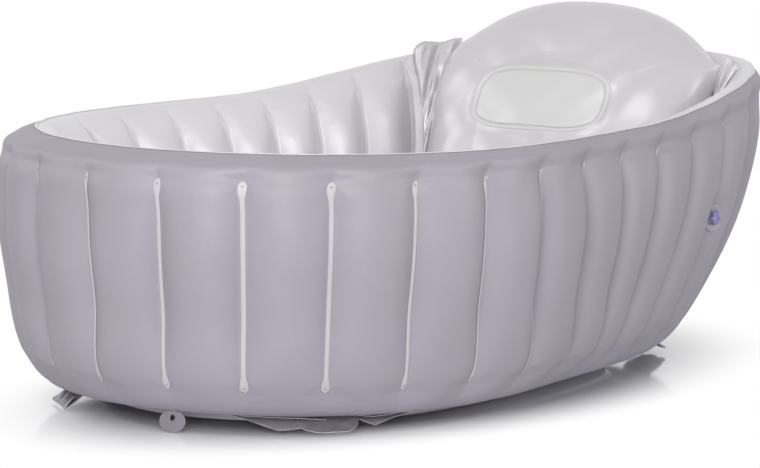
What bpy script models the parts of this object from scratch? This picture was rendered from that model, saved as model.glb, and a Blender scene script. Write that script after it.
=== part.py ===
"""Inflatable baby bathtub: a ribbed air wall, an air floor and a leaning air backrest.

The frame: +X points to the head end, where the backrest stands, -Y is the near long
side with the wall's valve, +Z is up and z = 0 is the ground. All lengths are in metres.
"""
import math

import bmesh
import bpy
import numpy as np
from mathutils import Matrix, Vector

# Overall size, over the bulge of the wall
TUB_LENGTH = 0.974
TUB_WIDTH = 0.557
RIM_HEIGHT = 0.272
HEAD_RISE = 0.047
RIM_RISE_RUN = 0.55
RIM_RISE_BEYOND = 0.113

# Plan outline: an egg made of two superellipse halves, rounder at the head lower down
FOOT_ROUNDNESS_SHARE = 1.93
RIM_ROUNDNESS_SHARE = 3.04
RIB_FOOT_ROUNDNESS_SHARE = 2.3
UNDERSIDE_ROUNDNESS_SHARE = 2.8
HEAD_TAPER_SHARE = 0.147
BELLY_SHARE = 0.20
TABLE_STEPS = 4000

# Film and clearances
FILM = 0.001
SEAM_GAP = 0.0006
SEAT_GAP = 0.0004
SHARP_EDGE_ANGLE = math.radians(40.0)

# Each plan line is held in from the bulge by its foot, head and side insets
RIM_SEAM_INSETS = (0.048, 0.0015, 0.0157)
RIB_FOOT_INSETS = (0.028, 0.098, 0.023)
UNDERSIDE_INSETS = (0.056, 0.163, 0.048)
INNER_FOOT_INSETS = (0.103, 0.150, 0.086)
BASE_SEAM_INSET = 0.030

# Heights on the wall
SHOULDER_DROP = 0.008
RIB_TOP_DROP = 0.0226
RIB_FOOT_HEIGHT = 0.047
UNDERSIDE_HEIGHT = 0.022
BASE_SEAM_HEIGHT = 0.018

# Ribs: creases where the inner webs hold the skins together
RIB_COUNT = 30
RIB_STEP_SHARES = (0.0, 0.14, 0.5, 0.86)
RIB_SWELL = 0.013
RIM_SCALLOP_SHARE = 0.10
CREASE_SINK = 0.0075
FOOT_BOW = 0.004
HEAD_BOW = 0.013
SHOULDER_REACH_SHARE = 0.72
OUTER_RING_SHARES = (1.0, 0.84, 0.70, 0.38, 0.0)
OUTER_RING_DRAWS = (0.005, 0.002, 0.0, 0.0, 0.0)
OUTER_SWELL_SHARES = (0.45, 0.9, 1.0, 1.0, 0.4)

# Inner skin: its rings lie in from the rim seam, then run down to the floor
RIM_CREST_INSET = 0.009
RIM_CREST_RISE = 0.003
INNER_RIM_INSETS = (0.020, 0.036, 0.045)
INNER_RIM_DROPS = (0.006, 0.045, 0.080)
INNER_RIM_SWELL_SHARES = (0.15, 0.9, 1.0)
INNER_LOWER_SHARES = (0.12, 0.0)
INNER_LOWER_SWELL_SHARES = (0.8, 0.0)
INNER_RIB_SWELL = 0.008

# Floor and bottom sheet
FLOOR_EDGE_HEIGHT = 0.0595
FLOOR_TOP_HEIGHT = 0.063
FLOOR_EDGE_SLOPE = 0.020
FLOOR_RING_SHARES = (0.6,)
BASE_SLOPE_WIDTH = 0.020
BASE_SLOPE_HEIGHT = 0.005
BASE_FLAT_WIDTH = 0.035
FLOOR_WEB_FOOT_GAP = 0.045
FLOOR_WEB_HEAD_GAP = 0.093
FLOOR_STEPS = 60

# Backrest: a pillow whose seam lies in a leaning plane
BACK_LEAN = math.radians(25.0)
BACK_CORNER_GAP = 0.0907
BACK_CORNER_RISE = 0.0345
BACK_SIDE_GAP = 0.0105
BACK_SIDE_TAPER = 0.046
BACK_DOME_INSET = 0.010
BACK_DOME_RISE = 0.062
BACK_DOME_POWER_SHARE = 2.6
BACK_FOOT_RADIUS = 0.030
BACK_FRONT_DEPTH = 0.066
BACK_REAR_DEPTH = 0.030
BACK_FRONT_RING_SHARES = (1.0, 0.97, 0.90, 0.79, 0.65)
BACK_REAR_RING_SHARES = (1.0, 0.95, 0.82, 0.55)
BACK_FLAT_SHARE = 0.60
BACK_SWELL_POWER_SHARE = 2.2
BACK_DOME_STEPS = 12
BACK_SIDE_STEPS = 4
BACK_CORNER_STEPS = 3
BACK_FOOT_STEPS = 4

# Bare oval panel on the backrest
PANEL_SIDE_GAP = 0.084
PANEL_HALF_HEIGHT = 0.031
PANEL_DROP = 0.063
PANEL_THICK = 0.0012
PANEL_ROUNDNESS_SHARE = 3.2
PANEL_STEPS = 32

# Corner films between the wall and the backrest
GUSSET_RUN = 0.0236
GUSSET_ROWS = 8
GUSSET_COLUMNS = 6
GUSSET_WRINKLE = 0.0014
GUSSET_WRINKLE_TURNS_SHARE = 2.5
GUSSET_DROP = 0.097

# Valves, measured along their own axis from the flange's outer face
VALVE_FLANGE_RADIUS = 0.0145
VALVE_FLANGE_THICK = 0.0012
VALVE_BEAD_RADIUS = 0.0125
VALVE_BEAD_RISE = 0.0006
VALVE_BEAD_WIDTH = 0.0010
VALVE_BORE_RADIUS = 0.0064
VALVE_SLIDE_GAP = 0.0003
VALVE_TUBE_WALL = 0.0013
VALVE_DEPTH = 0.012
VALVE_LIP_RADIUS = 0.0080
VALVE_LIP_THICK = 0.0012
CAP_RADIUS = 0.0068
CAP_LOBE = 0.0009
CAP_LOBES = 6
CAP_STEPS_PER_LOBE = 4
CAP_THICK = 0.0034
CAP_PIN_GAP = 0.0004
CAP_PIN_LENGTH = 0.0018
CAP_HINGE_REACH = 0.0085
FLAP_RADIUS = 0.0058
FLAP_THICK = 0.0008
TURN_STEPS = 18

# Places of the three valves
WALL_VALVE_RIB = 10
WALL_VALVE_SHIFT = 0.0015
BACK_VALVE_RISE = 0.0225
FLOOR_VALVE_APART = 0.055
FLOOR_VALVE_SIDE_GAP = 0.1175

# Drain in the floor, near the foot end
DRAIN_FOOT_GAP = 0.084
DRAIN_BORE_RADIUS = 0.0105
DRAIN_WALL = 0.0022
DRAIN_FLANGE_RADIUS = 0.020
DRAIN_FLANGE_THICK = 0.0016
PLUG_FIT = 0.0004
PLUG_TAPER = 0.0012
PLUG_DEPTH = 0.014
PLUG_HEAD_RADIUS = 0.0145
PLUG_HEAD_THICK = 0.0025
PLUG_GRIP_WIDTH = 0.016
PLUG_GRIP_HEIGHT = 0.012
PLUG_GRIP_THICK = 0.003

# Loose welded tabs under the wall
TAB_THICK = 0.001
TAB_STEPS = 8
TAB_REACH = 0.004
FOOT_TAB_WIDTH = 0.027
FOOT_TAB_LENGTH = 0.0205
FOOT_TAB_HOLE_RADIUS = 0.0026
FOOT_TAB_HOLE_DROP = 0.0075
FOOT_TAB_PLACE_SHARE = 0.0122
CORNER_TAB_WIDTH = 0.060
CORNER_TAB_LENGTH = 0.0265
CORNER_TAB_TILT = math.radians(54.0)
CORNER_TAB_REACH = 0.022
NEAR_CORNER_PLACE_SHARE = 0.0860
FAR_CORNER_PLACE_SHARE = 0.9220
HEAD_TAB_WIDTH = 0.050
HEAD_TAB_LENGTH = 0.027
HEAD_TAB_TILT = math.radians(50.0)
HEAD_TAB_PLACE_SHARE = 0.4380

# Ruffled weld flange under the wall at the near foot corner
SKIRT_START_SHARE = 0.045
SKIRT_END_SHARE = 0.122
SKIRT_DEPTH = 0.0125
SKIRT_RUFFLE = 0.003
SKIRT_RUFFLES_SHARE = 5.5
SKIRT_REACH = 0.0275
SKIRT_STEPS = 28

# Colours, roughness and metallic value
GREY_FILM = ((0.41, 0.39, 0.43, 1.0), 0.42, 0.0)
PEARL_FILM = ((0.66, 0.65, 0.66, 1.0), 0.32, 0.1)
CLEAR_FILM = ((0.62, 0.60, 0.64, 1.0), 0.30, 0.0)
VALVE_FILM = ((0.55, 0.53, 0.62, 1.0), 0.25, 0.0)
CAP_PLASTIC = ((0.42, 0.42, 0.66, 1.0), 0.18, 0.0)
PANEL_FILM = ((0.74, 0.74, 0.75, 1.0), 0.28, 0.0)

# Values that follow from the ones above
FULL_TURN = 2.0 * math.pi
BULGE_LINE = (0.0, 0.0, 0.0, RIM_ROUNDNESS_SHARE)
RIM_SEAM_LINE = RIM_SEAM_INSETS + (RIM_ROUNDNESS_SHARE,)
RIB_FOOT_LINE = RIB_FOOT_INSETS + (RIB_FOOT_ROUNDNESS_SHARE,)
UNDERSIDE_LINE = UNDERSIDE_INSETS + (UNDERSIDE_ROUNDNESS_SHARE,)
INNER_FOOT_LINE = INNER_FOOT_INSETS + (RIM_ROUNDNESS_SHARE,)
TABLE_TURN = np.linspace(-math.pi, math.pi, TABLE_STEPS + 1)
RISE_END_X = TUB_LENGTH / 2.0 + RIM_RISE_BEYOND
RISE_START_X = RISE_END_X - RIM_RISE_RUN
BACK_CORNER_HEIGHT = RIM_HEIGHT + BACK_CORNER_RISE - FLOOR_TOP_HEIGHT - SEAM_GAP
BACK_CORNER_UP = BACK_CORNER_HEIGHT / math.cos(BACK_LEAN)
BACK_CORNER_X = TUB_LENGTH / 2.0 - BACK_CORNER_GAP
BACK_FOOT_X = BACK_CORNER_X - BACK_CORNER_UP * math.sin(BACK_LEAN)
PANEL_UP = BACK_CORNER_UP - PANEL_DROP
DRAIN_X = DRAIN_FOOT_GAP + INNER_FOOT_INSETS[0] - TUB_LENGTH / 2.0
FLOOR_VALVE_X = DRAIN_X + FLOOR_VALVE_APART
FLOOR_VALVE_Y = TUB_WIDTH / 2.0 - INNER_FOOT_INSETS[2] - FLOOR_VALVE_SIDE_GAP
FLOOR_WEB_START_X = FLOOR_VALVE_X + FLOOR_WEB_FOOT_GAP
FLOOR_WEB_END_X = BACK_FOOT_X - FLOOR_WEB_HEAD_GAP
GUSSET_FOOT_HEIGHT = RIM_HEIGHT - GUSSET_DROP


# Materials, objects and cutters

def film_material(name, finish):
    """A Principled material from a colour, a roughness and a metallic value."""
    material = bpy.data.materials.new(name)
    material.use_nodes = True
    shader = material.node_tree.nodes["Principled BSDF"]
    shader.inputs["Base Color"].default_value = finish[0]
    shader.inputs["Roughness"].default_value = finish[1]
    shader.inputs["Metallic"].default_value = finish[2]
    return material


def add_object(name, mesh, finish, frame=None):
    """Link a mesh as a named object with its own material, placed at a frame."""
    piece = bpy.data.objects.new(name, mesh)
    bpy.context.scene.collection.objects.link(piece)
    mesh.materials.append(film_material(name, finish))
    mesh.shade_smooth()
    mesh.set_sharp_from_angle(angle=SHARP_EDGE_ANGLE)
    if frame is not None:
        piece.matrix_world = frame
    return piece


def add_tool(name, mesh, frame):
    """Link a closed mesh that only cuts or joins a piece and is left out of the part."""
    tool = bpy.data.objects.new(name, mesh)
    bpy.context.scene.collection.objects.link(tool)
    tool.hide_render = True
    tool.display_type = "WIRE"
    tool.matrix_world = frame
    return tool


def combine(piece, tool, operation):
    """Cut a tool out of a piece, or join it on."""
    step = piece.modifiers.new(operation.lower(), "BOOLEAN")
    step.operation = operation
    step.solver = "EXACT"
    step.object = tool


def thicken(piece, offset=-1.0):
    """Give an open film its thickness, behind its face unless told otherwise."""
    shell = piece.modifiers.new("thickness", "SOLIDIFY")
    shell.thickness = FILM
    shell.offset = offset


def mesh_from(build, name):
    """Turn a bmesh into a mesh."""
    mesh = bpy.data.meshes.new(name)
    build.to_mesh(mesh)
    build.free()
    return mesh


def band_mesh(name, rings, closed=True, cap=False):
    """Faces between neighbouring rings, and a flat face in the last ring if it is capped."""
    build = bmesh.new()
    rows = [[build.verts.new(point) for point in points] for points in rings]
    count = len(rows[0])
    for upper, lower in zip(rows[:-1], rows[1:]):
        for step in range(count if closed else count - 1):
            after = (step + 1) % count
            build.faces.new((upper[step], lower[step], lower[after], upper[after]))
    if cap:
        build.faces.new(rows[-1][::-1])
    return mesh_from(build, name)


# Plan outline and the wall's rings

def plan_curve(turn, line):
    """Points of a plan line: an egg with foot, head and side insets and a head roundness."""
    foot, head, side, head_roundness = line
    half_length = (TUB_LENGTH - foot - head) / 2.0
    centre = (foot - head) / 2.0
    half_width = TUB_WIDTH / 2.0 - side
    cosine, sine = np.cos(turn), np.sin(turn)
    headward = (1.0 + cosine) / 2.0
    roundness = FOOT_ROUNDNESS_SHARE * (1.0 - headward) + head_roundness * headward
    along = np.sign(cosine) * np.abs(cosine) ** (2.0 / roundness)
    across = np.sign(sine) * np.abs(sine) ** (2.0 / roundness)
    width = half_width * (1.0 - HEAD_TAPER_SHARE * along + BELLY_SHARE * along ** 2)
    return np.stack([centre + half_length * along, width * across], axis=-1)


def plan_at(fractions, line):
    """Outline points and outward directions at fractions of the bulge line's length.

    Fraction 0 is the foot's tip, 0.25 lies on the near side and 0.5 is the head's tip.
    """
    bulge = plan_curve(TABLE_TURN, BULGE_LINE)
    steps = np.linalg.norm(np.diff(bulge, axis=0), axis=1)
    length = np.concatenate([[0.0], np.cumsum(steps)])
    turn = np.interp(np.mod(fractions, 1.0) * length[-1], length, TABLE_TURN)
    curve = plan_curve(TABLE_TURN, line)
    slope = np.gradient(curve, axis=0)
    points = np.stack([np.interp(turn, TABLE_TURN, curve[:, axis]) for axis in (0, 1)], axis=-1)
    along = np.stack([np.interp(turn, TABLE_TURN, slope[:, axis]) for axis in (0, 1)], axis=-1)
    along /= np.linalg.norm(along, axis=1, keepdims=True)
    return points, np.stack([along[:, 1], -along[:, 0]], axis=-1)


def rim_height(x):
    """Height of the rim seam, which rises towards the head end."""
    rise = np.clip((x - RISE_START_X) / (RISE_END_X - RISE_START_X), 0.0, 1.0)
    return RIM_HEIGHT + HEAD_RISE * rise * rise * (3.0 - 2.0 * rise)


def blend(first, second, share):
    """A plan line that lies a share of the way from the first line to the second."""
    return tuple(a + (b - a) * share for a, b in zip(first, second))


def draw_in(line, amount):
    """A plan line held in by one more amount all round."""
    foot, head, side, head_roundness = line
    return (foot + amount, head + amount, side + amount, head_roundness)


def ring(fractions, line, reach, height):
    """Points along a plan line; height is a number or a function of x."""
    points, outward = plan_at(fractions, line)
    points = points + outward * np.reshape(reach, (-1, 1))
    level = height(points[:, 0]) if callable(height) else np.full(len(points), height)
    return np.column_stack([points, level])


def rib_fractions():
    """Fractions of the outline at each rib's steps, the crease first in each rib."""
    ribs = np.arange(RIB_COUNT).reshape(-1, 1)
    return ((ribs + 0.5 + np.array(RIB_STEP_SHARES)) / RIB_COUNT).ravel()


def rib_swell(fractions):
    """How far each point of the outline swells between its creases, from 0 to 1."""
    place = np.mod(fractions * RIB_COUNT - 0.5, 1.0)
    return 4.0 * place * (1.0 - place)


def scallop(fractions):
    """The slight swell that the ribs give to the rim and the underside."""
    return RIB_SWELL * RIM_SCALLOP_SHARE * rib_swell(fractions)


def wall_bow(fractions, share):
    """How far the wall bows out between rib tops and rib feet, more at the head end."""
    headward = (1.0 - np.cos(FULL_TURN * fractions)) / 2.0
    return 4.0 * share * (1.0 - share) * (FOOT_BOW + (HEAD_BOW - FOOT_BOW) * headward)


def outer_rib_ring(fractions, index):
    """Ring of the outer skin: share 1 at the rib tops and 0 at the rib feet."""
    share = OUTER_RING_SHARES[index]
    swell = (RIB_SWELL * rib_swell(fractions) - CREASE_SINK) * OUTER_SWELL_SHARES[index]
    reach = swell + wall_bow(fractions, share) - OUTER_RING_DRAWS[index]
    foot = (1.0 - share) * RIB_FOOT_HEIGHT
    return ring(fractions, blend(RIB_FOOT_LINE, BULGE_LINE, share), reach,
                lambda x: share * (rim_height(x) - RIB_TOP_DROP) + foot)


def outer_web_line(fractions):
    """The rings of the outer skin that the webs reach."""
    return [outer_rib_ring(fractions, index) for index in range(len(OUTER_RING_SHARES))]


def outer_rings(fractions):
    """All rings of the outer skin, from the rim seam to the base seam."""
    shoulder = blend(RIM_SEAM_LINE, BULGE_LINE, SHOULDER_REACH_SHARE)
    base = draw_in(UNDERSIDE_LINE, BASE_SEAM_INSET)
    rings = [ring(fractions, RIM_SEAM_LINE, scallop(fractions), rim_height)]
    rings.append(ring(fractions, shoulder, scallop(fractions),
                      lambda x: rim_height(x) - SHOULDER_DROP))
    rings += outer_web_line(fractions)
    rings.append(ring(fractions, UNDERSIDE_LINE, scallop(fractions), UNDERSIDE_HEIGHT))
    rings.append(ring(fractions, base, 0.0, BASE_SEAM_HEIGHT))
    return rings


def inner_rim_ring(fractions, index):
    """Ring of the inner skin a set drop under the rim seam."""
    line = draw_in(RIM_SEAM_LINE, INNER_RIM_INSETS[index])
    swell = INNER_RIB_SWELL * INNER_RIM_SWELL_SHARES[index] * rib_swell(fractions)
    return ring(fractions, line, -swell, lambda x: rim_height(x) - INNER_RIM_DROPS[index])


def inner_lower_ring(fractions, index):
    """Ring of the inner skin between the last rim ring and the floor."""
    share = INNER_LOWER_SHARES[index]
    top = draw_in(RIM_SEAM_LINE, INNER_RIM_INSETS[-1])
    swell = INNER_RIB_SWELL * INNER_LOWER_SWELL_SHARES[index] * rib_swell(fractions)
    foot = (1.0 - share) * (FLOOR_EDGE_HEIGHT + SEAM_GAP)
    return ring(fractions, blend(INNER_FOOT_LINE, top, share), -swell,
                lambda x: share * (rim_height(x) - INNER_RIM_DROPS[-1]) + foot)


def inner_web_line(fractions):
    """The rings of the inner skin that the webs reach, from the rim down."""
    rings = [inner_rim_ring(fractions, index) for index in (1, 2)]
    rings.append(inner_lower_ring(fractions, 0))
    return rings


def inner_rings(fractions):
    """All rings of the inner skin, from the rim seam down to the floor."""
    crest = draw_in(RIM_SEAM_LINE, RIM_CREST_INSET)
    rings = [ring(fractions, draw_in(RIM_SEAM_LINE, FILM + SEAM_GAP), scallop(fractions), rim_height)]
    rings.append(ring(fractions, crest, scallop(fractions), lambda x: rim_height(x) + RIM_CREST_RISE))
    rings.append(inner_rim_ring(fractions, 0))
    rings += inner_web_line(fractions)
    rings.append(inner_lower_ring(fractions, 1))
    return rings


def far_wall_at(x):
    """Fraction and half width at which the far wall's inner side reaches a place near the head."""
    fractions = np.linspace(0.5, 0.75, TABLE_STEPS)
    quarter = inner_rim_ring(fractions, 0)
    place = np.interp(-x, -quarter[:, 0], fractions)
    return float(place), float(np.interp(-x, -quarter[:, 0], quarter[:, 1]))


# Widths of the backrest, which stands between the wall's sides
BACK_HALF_WIDTH = far_wall_at(BACK_CORNER_X)[1] - BACK_SIDE_GAP
BACK_FOOT_HALF_WIDTH = BACK_HALF_WIDTH - BACK_SIDE_TAPER
BACK_DOME_HALF_WIDTH = BACK_HALF_WIDTH - BACK_DOME_INSET
PANEL_HALF_LENGTH = BACK_HALF_WIDTH - PANEL_SIDE_GAP


# Wall

def make_wall_outer_skin():
    """The grey outer film of the wall, from the rim seam down and under to the base seam."""
    mesh = band_mesh("wall_outer_skin", outer_rings(rib_fractions()))
    skin = add_object("wall_outer_skin", mesh, GREY_FILM)
    thicken(skin)
    return skin


def make_wall_inner_skin():
    """The pearl inner film of the wall, from the rim seam down to the floor."""
    rings = inner_rings(rib_fractions())[::-1]
    thicken(add_object("wall_inner_skin", band_mesh("wall_inner_skin", rings), PEARL_FILM))


def halved(line):
    """A polyline with a point added in the middle of each stretch."""
    points = np.empty((2 * len(line) - 1, line.shape[1]))
    points[::2] = line
    points[1::2] = (line[:-1] + line[1:]) / 2.0
    return points


def make_wall_webs():
    """One web at each crease, which ties the outer film to the inner film."""
    creases = (np.arange(RIB_COUNT) + 0.5) / RIB_COUNT
    outer = np.array(outer_web_line(creases))
    inner = np.array(inner_web_line(creases))
    for number in range(RIB_COUNT):
        outer_line = outer[:, number]
        inner_line = halved(inner[:, number])
        across = inner_line - outer_line
        held = across / np.linalg.norm(across, axis=1, keepdims=True) * (FILM + 2.0 * SEAM_GAP)
        rows = list(zip(outer_line + held, inner_line - held))
        name = f"wall_web_{number + 1:02d}"
        thicken(add_object(name, band_mesh(name, rows, closed=False), CLEAR_FILM), 0.0)


# Floor

def scaled_ring(points, share, height):
    """A ring drawn in towards the origin by a share, at one height."""
    drawn = points * share
    drawn[:, 2] = height
    return drawn


def make_floor_top_skin():
    """The pearl film that the bather sits on."""
    fractions = np.arange(FLOOR_STEPS) / FLOOR_STEPS
    edge_line = draw_in(INNER_FOOT_LINE, SEAM_GAP)
    edge = ring(fractions, edge_line, 0.0, FLOOR_EDGE_HEIGHT)
    flat = ring(fractions, draw_in(edge_line, FLOOR_EDGE_SLOPE), 0.0, FLOOR_TOP_HEIGHT)
    rings = [edge, flat] + [scaled_ring(flat, share, FLOOR_TOP_HEIGHT) for share in FLOOR_RING_SHARES]
    mesh = band_mesh("floor_top_skin", [points[::-1] for points in rings], cap=True)
    top = add_object("floor_top_skin", mesh, PEARL_FILM)
    thicken(top)
    return top


def make_floor_bottom_sheet():
    """The grey sheet under the tub, flat on the ground inside its sloping edge."""
    fractions = np.arange(FLOOR_STEPS) / FLOOR_STEPS
    seam = draw_in(UNDERSIDE_LINE, BASE_SEAM_INSET + SEAM_GAP)
    outline = ring(fractions, seam, 0.0, BASE_SEAM_HEIGHT)
    slope = ring(fractions, draw_in(seam, BASE_SLOPE_WIDTH), 0.0, BASE_SLOPE_HEIGHT)
    ground = ring(fractions, draw_in(seam, BASE_FLAT_WIDTH), 0.0, 0.0)
    rings = [outline, slope, ground] + [scaled_ring(ground, share, 0.0) for share in FLOOR_RING_SHARES]
    sheet = add_object("floor_bottom_sheet", band_mesh("floor_bottom_sheet", rings, cap=True), GREY_FILM)
    thicken(sheet)
    return sheet


def make_floor_webs():
    """The web round the floor's chamber and the long web that keeps the floor flat."""
    fractions = np.arange(FLOOR_STEPS) / FLOOR_STEPS
    top_line = draw_in(INNER_FOOT_LINE, 2.0 * SEAM_GAP)
    foot_line = draw_in(UNDERSIDE_LINE, BASE_SEAM_INSET + BASE_SLOPE_WIDTH)
    rows = [ring(fractions, top_line, 0.0, FLOOR_EDGE_HEIGHT - FILM - SEAM_GAP),
            ring(fractions, foot_line, 0.0, BASE_SLOPE_HEIGHT + 2.0 * FILM + SEAM_GAP)]
    thicken(add_object("floor_edge_web", band_mesh("floor_edge_web", rows), CLEAR_FILM))

    high = FLOOR_TOP_HEIGHT - FILM - SEAT_GAP
    low = FILM + SEAT_GAP
    rows = [[(FLOOR_WEB_START_X, 0.0, level), (FLOOR_WEB_END_X, 0.0, level)] for level in (high, low)]
    mesh = band_mesh("floor_centre_web", rows, closed=False)
    thicken(add_object("floor_centre_web", mesh, CLEAR_FILM), 0.0)


# Backrest

BACK_UP = Vector((math.sin(BACK_LEAN), 0.0, math.cos(BACK_LEAN)))
BACK_FRONT = Vector((-math.cos(BACK_LEAN), 0.0, math.sin(BACK_LEAN)))
BACK_SIDE = Vector((0.0, 1.0, 0.0))
BACK_FOOT = Vector((BACK_FOOT_X, 0.0, FLOOR_TOP_HEIGHT + SEAM_GAP))


def back_point(side, up, out):
    """World place of a point given across, up and out of the backrest's plane."""
    return BACK_FOOT + BACK_SIDE * side + BACK_UP * up + BACK_FRONT * out


def back_side_width(up):
    """Half width of the backrest's seam at a height on its straight side."""
    share = up / BACK_CORNER_UP
    return BACK_FOOT_HALF_WIDTH + (BACK_HALF_WIDTH - BACK_FOOT_HALF_WIDTH) * share


def back_outline():
    """Seam line of the backrest: dome, pointed corners, sides, round foot corners, foot."""
    across = np.linspace(-1.0, 1.0, BACK_DOME_STEPS + 1)
    rise = 1.0 - np.abs(across) ** BACK_DOME_POWER_SHARE
    dome = [(-BACK_DOME_HALF_WIDTH * a, BACK_CORNER_UP + BACK_DOME_RISE * r)
            for a, r in zip(across, rise)]
    radius = BACK_FOOT_RADIUS
    heights = np.linspace(BACK_CORNER_UP, radius, BACK_SIDE_STEPS + 1)
    left = [(-back_side_width(up), up) for up in heights]
    centre = back_side_width(radius) - radius
    turns = np.linspace(0.0, math.pi / 2.0, BACK_CORNER_STEPS + 1)[1:]
    left += [(-centre - radius * math.cos(a), radius - radius * math.sin(a)) for a in turns]
    foot = [(side, 0.0) for side in np.linspace(-centre, centre, BACK_FOOT_STEPS + 1)[1:-1]]
    right = [(-side, up) for side, up in left[::-1]]
    return np.array(dome + left + foot + right)


def back_depth(share, depth):
    """Depth of the pillow where its ring is drawn in to a share of the seam line."""
    rim = max(0.0, (share - BACK_FLAT_SHARE) / (1.0 - BACK_FLAT_SHARE))
    return depth * math.sqrt(1.0 - rim ** BACK_SWELL_POWER_SHARE)


def pillow_rings(shares, depth, sign):
    """Rings of one face of the backrest, from its seam inwards."""
    centre = np.array([0.0, PANEL_UP])
    rings = []
    for share in shares:
        out = sign * (SEAM_GAP + back_depth(share, depth))
        drawn = centre + (back_outline() - centre) * share
        rings.append([back_point(side, up, out) for side, up in drawn])
    return rings


def make_backrest():
    """Front and rear films of the backrest; gives back the rear one."""
    rings = pillow_rings(BACK_FRONT_RING_SHARES, BACK_FRONT_DEPTH, 1.0)
    mesh = band_mesh("backrest_front_skin", rings, cap=True)
    thicken(add_object("backrest_front_skin", mesh, PEARL_FILM))
    rings = pillow_rings(BACK_REAR_RING_SHARES, BACK_REAR_DEPTH, -1.0)
    mesh = band_mesh("backrest_rear_skin", [points[::-1] for points in rings], cap=True)
    rear = add_object("backrest_rear_skin", mesh, PEARL_FILM)
    thicken(rear)
    return rear


def make_backrest_panel():
    """The bare oval panel on the front of the backrest."""
    turn = np.arange(PANEL_STEPS) * FULL_TURN / PANEL_STEPS
    cosine, sine = np.cos(turn), np.sin(turn)
    power = 2.0 / PANEL_ROUNDNESS_SHARE
    side = PANEL_HALF_LENGTH * np.sign(cosine) * np.abs(cosine) ** power
    up = PANEL_UP + PANEL_HALF_HEIGHT * np.sign(sine) * np.abs(sine) ** power
    face = SEAM_GAP + BACK_FRONT_DEPTH + SEAT_GAP
    rows = [[back_point(s, u, face + rise) for s, u in zip(side, up)] for rise in (0.0, PANEL_THICK)]
    build = bmesh.new()
    low, high = ([build.verts.new(point) for point in row] for row in rows)
    for step in range(PANEL_STEPS):
        after = (step + 1) % PANEL_STEPS
        build.faces.new((low[step], low[after], high[after], high[step]))
    build.faces.new(low[::-1])
    build.faces.new(high)
    bmesh.ops.recalc_face_normals(build, faces=build.faces)
    add_object("backrest_panel", mesh_from(build, "backrest_panel"), PANEL_FILM)


def make_gusset(name, side_sign):
    """Wrinkled film from the wall's inner skin to the backrest's side seam."""
    place = far_wall_at(BACK_CORNER_X - GUSSET_RUN)[0]
    fraction = np.array([1.0 - place if side_sign < 0.0 else place])
    rings = [inner_rim_ring(fraction, 0)] + inner_web_line(fraction)
    wall = np.array([points[0] for points in rings])[::-1]
    outward = plan_at(fraction, RIM_SEAM_LINE)[1]
    stand = FILM / 2.0 + SEAM_GAP
    share_at_foot = (GUSSET_FOOT_HEIGHT - BACK_FOOT.z) / (BACK_UP.z * BACK_CORNER_UP)
    rows = []
    for share in np.linspace(1.0, 0.0, GUSSET_ROWS + 1):
        up = BACK_CORNER_UP * (share_at_foot + (1.0 - share_at_foot) * share)
        back = np.array(back_point((back_side_width(up) + stand) * side_sign, up, 0.0))
        level = GUSSET_FOOT_HEIGHT + (wall[-1, 2] - GUSSET_FOOT_HEIGHT) * share
        held = np.array([np.interp(level, wall[:, 2], wall[:, axis]) for axis in (0, 1, 2)])
        held[:2] -= outward[0] * (stand + SEAT_GAP)
        row = []
        for across in np.linspace(0.0, 1.0, GUSSET_COLUMNS + 1):
            wave = math.sin(FULL_TURN * GUSSET_WRINKLE_TURNS_SHARE * (across + share))
            fold = GUSSET_WRINKLE * math.sin(math.pi * across) ** 2 * wave
            row.append(held + (back - held) * across + np.array([fold, 0.0, 0.0]))
        rows.append(row)
    thicken(add_object(name, band_mesh(name, rows, closed=False), PEARL_FILM), 0.0)


# Turned pieces

def turned_mesh(name, profile, steps=TURN_STEPS, lobe=None):
    """A closed body turned round +Z from a profile of radius and height pairs.

    A profile whose ends lie on the axis makes a solid piece, any other one makes a ring.
    """
    build = bmesh.new()
    count = len(profile)
    columns = []
    for step in range(steps):
        angle = step * FULL_TURN / steps
        column = []
        for index, (radius, height) in enumerate(profile):
            if radius == 0.0 and step:
                column.append(columns[0][index])
                continue
            wide = radius + (lobe(angle) if lobe and radius >= CAP_RADIUS - CAP_LOBE else 0.0)
            place = (wide * math.cos(angle), wide * math.sin(angle), height)
            column.append(build.verts.new(place))
        columns.append(column)
    last = count - 1 if profile[0][0] == 0.0 else count
    for step in range(steps):
        here, after = columns[step], columns[(step + 1) % steps]
        for index in range(last):
            below = (index + 1) % count
            corners = dict.fromkeys((here[index], here[below], after[below], after[index]))
            build.faces.new(list(corners))
    bmesh.ops.recalc_face_normals(build, faces=build.faces)
    return mesh_from(build, name)


def cylinder_mesh(name, radius, low, high):
    """A plain closed cylinder round +Z."""
    return turned_mesh(name, [(0.0, low), (radius, low), (radius, high), (0.0, high)])


def axis_frame(origin, outward, hinge_side):
    """Matrix whose +Z is the outward axis and whose +X points to the cap's hinge."""
    z_axis = Vector(outward).normalized()
    x_axis = Vector(hinge_side)
    x_axis = (x_axis - z_axis * x_axis.dot(z_axis)).normalized()
    frame = Matrix((x_axis, z_axis.cross(x_axis), z_axis)).transposed().to_4x4()
    frame.translation = Vector(origin)
    return frame


def place_at(piece, frame, origin):
    """Put a piece at a frame with its own origin moved to a point of that frame."""
    shift = Matrix.Translation(origin)
    piece.data.transform(shift.inverted())
    piece.matrix_world = frame @ shift


# Valves and drain

def cap_lobe(angle):
    """Star-shaped edge of a valve cap."""
    return CAP_LOBE * math.cos(CAP_LOBES * angle)


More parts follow.
